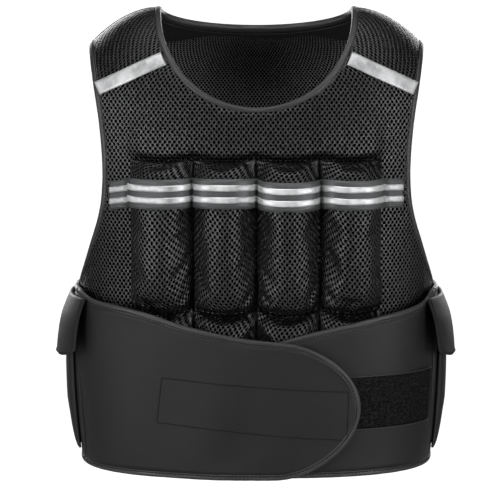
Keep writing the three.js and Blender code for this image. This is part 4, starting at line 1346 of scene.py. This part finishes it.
    def hook_side(self) -> None:
        """Makes the hook patch, whose lower edge falls towards the wing's end, and the stitches round it."""
        angle = np.linspace(*self.hook_span, 60)[None, :]
        low = 60 - 17 * (angle - self.hook_span[0]) / 73
        skin = self.patch(self.hook_span, low, low + self.hook_height, OVERLAP_STEP(angle) - 1.3, 0.5)
        publish("hook_pile_patch", skin, (Cloths.PILE,), ("hook_patch",))
        self.seams.append(Threads.HOOK.row(*self.hook_line()))


@dataclass
class HipPouches(Sewn):
    """A flat pouch on each hip under a flap that stands away at its foot."""

    first: float = 80.0
    last: float = 120.0
    flap_first: float = 67.0
    flap_last: float = 126.0
    flap_top: float = 187.0
    flap_length: float = 67.0
    flap_cloth: float = 75.0
    flap_wall: float = 3.5
    pouch_foot: float = 14.0
    pouch_depth: float = 144.0

    def pouch(self, hand: int) -> Skin:
        """Wall sewn down at its sides and foot: it rises from the foot and eases at the mouth."""
        u, v = np.meshgrid(np.linspace(0, 1, 40), np.linspace(0, 1, 36))
        z = self.pouch_foot + self.pouch_depth * v**1.3
        place = BELT.round(hand * (self.first + (self.last - self.first) * u), z)
        upward = np.minimum(1, (v * 2.2) ** 0.6) * (1 - 0.42 * v**3)
        low = BELT_THICKNESS + 0.9 + 10 * np.sqrt(np.maximum(0, 1 - np.abs(2 * u - 1) ** 3)) * upward
        crease = 0.5 * np.sin(u * 21 + 3 * v) * np.sin(np.pi * v)
        cloth = np.stack([place[..., 1], z], -1)
        return shell(BELT.lay(place, low + 2.5 + crease), BELT.lay(place, low), cloth).facing_out()

    def flap(self, hand: int) -> tuple[Skin, Array, Array]:
        """Flap with rounded lower corners, and the line and normals of the stitches inside its edge."""
        flare = Curve((0, 0.2, 0.36, 0.6, 1.0), (0, 0.36, 0.6, 0.8, 1.0), 14.0)
        u, down = np.meshgrid(np.linspace(0, 1, 64), np.linspace(0, 1, 30))

        def place(u: Array, down: Array) -> Array:
            """Point of the belt under a place of the flap."""
            corner = np.abs(2 * u - 1) ** 5 * 12 * down**3
            angle = hand * (self.flap_first + (self.flap_last - self.flap_first) * u)
            return BELT.round(angle, self.flap_top - self.flap_length * down + corner)

        def under(u: Array, down: Array) -> Array:
            """Height of the flap's inner face above the form."""
            return BELT_THICKNESS + 2.3 + flare(down) + 0.8 * np.sin(u * 9 + hand) * down

        low, half = under(u, down), self.flap_wall / 2
        rim = np.minimum(np.minimum(u, 1 - u) * 200, (1 - down) * self.flap_cloth)
        round_off = np.sqrt(1 - (1 - np.clip(rim / 1.8, 0, 1)) ** 2)
        grid = place(u, down)
        outer, inner = (BELT.lay(grid, low + half + way * half * round_off) for way in (1, -1))
        t = np.linspace(0.03, 0.97, 120)
        path_u = np.concatenate([0 * t + 0.016, t * 0.968 + 0.016, 0 * t + 0.984])
        path_d = np.concatenate([t * 0.955, 0 * t + 0.955, t[::-1] * 0.955])
        line = place(path_u, path_d)
        normal = BELT.normal(line)
        lift = under(path_u, path_d) + self.flap_wall
        cloth = np.stack([grid[..., 1], self.flap_cloth * down], -1)
        return shell(outer, inner, cloth).facing_out(), line + normal * lift[:, None], normal

    def build(self) -> None:
        """Makes both pouches and both flaps."""
        for hand, word in HANDS:
            publish(f"pouch_wall_{word}", self.pouch(hand), (Cloths.NEOPRENE,), (f"hip_pouch_{word}",))
            skin, line, normal = self.flap(hand)
            publish(f"flap_{word}", skin, (Cloths.NEOPRENE,), (f"pouch_flap_{word}",))
            self.seams.append(Threads.FLAP.row(line, normal))


@dataclass
class Studio:
    """Pale sweep, soft lights and the camera at the photograph's angle."""

    elevation: float = 7.0
    distance: float = 2.4
    lens: float = 154.93
    ambient: float = 0.07
    reach: float = 2.3
    target: tuple[float, float, float] = (-0.0069, 0.0, 0.23048 - SEAT_HEIGHT * MM)

    def camera(self) -> None:
        """Places the camera in front, looking down by the elevation."""
        data = bpy.data.cameras.new("photo camera")
        data.lens, data.sensor_width, data.clip_end = self.lens, 36.0, 50.0
        e = np.radians(self.elevation)
        eye = np.array(self.target) - self.distance * np.array([0, np.cos(e), -np.sin(e)])
        bpy.context.scene.camera = added("photo camera", data, eye, (np.pi / 2 - e, 0, 0))

    def softbox(self, name: str, azimuth: float, elevation: float, size: float, power: float) -> None:
        """Square area light aimed at the vest; azimuth 0 is the camera's side."""
        data = bpy.data.lights.new(name, "AREA")
        data.size, data.energy = size, power
        a, e = np.radians(azimuth), np.radians(elevation)
        away = np.array([np.sin(a) * np.cos(e), -np.cos(a) * np.cos(e), np.sin(e)])
        added(name, data, np.array(self.target) + self.reach * away, (np.pi / 2 - e, 0, a))

    @staticmethod
    def seen(w: Wiring, otherwise: float) -> Output:
        """1 where the camera sees a surface directly, and a smaller number for the light that it gives."""
        return w.math("MAXIMUM", w.node("LightPath").outputs["Is Camera Ray"], otherwise)

    def sweep(self) -> None:
        """Floor that curves up into a wall far off on all sides: height is a smooth step of the radius."""
        radius = np.concatenate([[0.01], np.linspace(0.5, 9, 40)])
        turn = np.linspace(0, 2 * np.pi, 64, endpoint=False)
        z = -1.15 + 7.5 * smooth(4.5, 9.0, radius) ** 1.5
        ring = np.stack([np.outer(radius, np.cos(turn)), np.outer(radius, np.sin(turn)),
                         np.broadcast_to(z[:, None], (len(radius), 64))], -1)
        mesh = bpy.data.meshes.new("floor")
        mesh.from_pydata(ring.reshape(-1, 3).tolist(), [], quads(len(radius), 64, wrap_columns=True).tolist())
        mesh.polygons.foreach_set("use_smooth", np.ones(len(mesh.polygons), bool))
        material = bpy.data.materials.new("Pale floor")
        material.use_nodes = True
        shader = material.node_tree.nodes["Principled BSDF"]
        shader.inputs["Base Color"].default_value = (0.4, 0.4, 0.4, 1)
        shader.inputs["Roughness"].default_value = 0.9
        shader.inputs["Emission Color"].default_value = (1, 1, 1, 1)
        w = Wiring(material.node_tree)
        w.feed(shader.inputs["Emission Strength"], self.seen(w, 0.0))
        mesh.materials.append(material)
        added("floor", mesh)

    def build(self) -> None:
        """Sets up the studio."""
        self.camera()
        self.sweep()
        for name, azimuth, elevation, size, power in (
            ("left key", -43, 4, 0.8, 35.0),
            ("right key", 43, 4, 0.8, 34.0),
            ("left side", -80, 8, 1.5, 9.0),
            ("right side", 80, 8, 1.5, 6.0),
            ("top", 0, 66, 1.6, 44.0),
            ("left back", -155, 14, 1.2, 30.0),
            ("right back", 155, 14, 1.2, 26.0),
        ):
            self.softbox(name, azimuth, elevation, size, power)
        world = bpy.data.worlds.new("studio")
        world.use_nodes = True
        shader = world.node_tree.nodes["Background"]
        shader.inputs["Color"].default_value = (1, 1, 1, 1)
        w = Wiring(world.node_tree)
        w.feed(shader.inputs["Strength"], self.seen(w, self.ambient))
        bpy.context.scene.world = world
        bpy.context.scene.view_settings.view_transform = "Standard"


def main() -> None:
    """Builds the vest on its frame, then the studio round it."""
    logging.basicConfig(level=logging.INFO, format="%(name)s: %(message)s")
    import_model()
    body, pockets, trim, belt, pouches = MeshBody(), WeightPockets(), ReflectiveTrim(), WrapBelt(), HipPouches()
    for part in (body, pockets, trim, belt, pouches):
        part.build()
    for part, word in ((body, "body"), (belt, "belt"), (pouches, "flap")):
        part.sew(f"{word}_stitches")
    Studio().build()


if __name__ == "__main__":
    main()
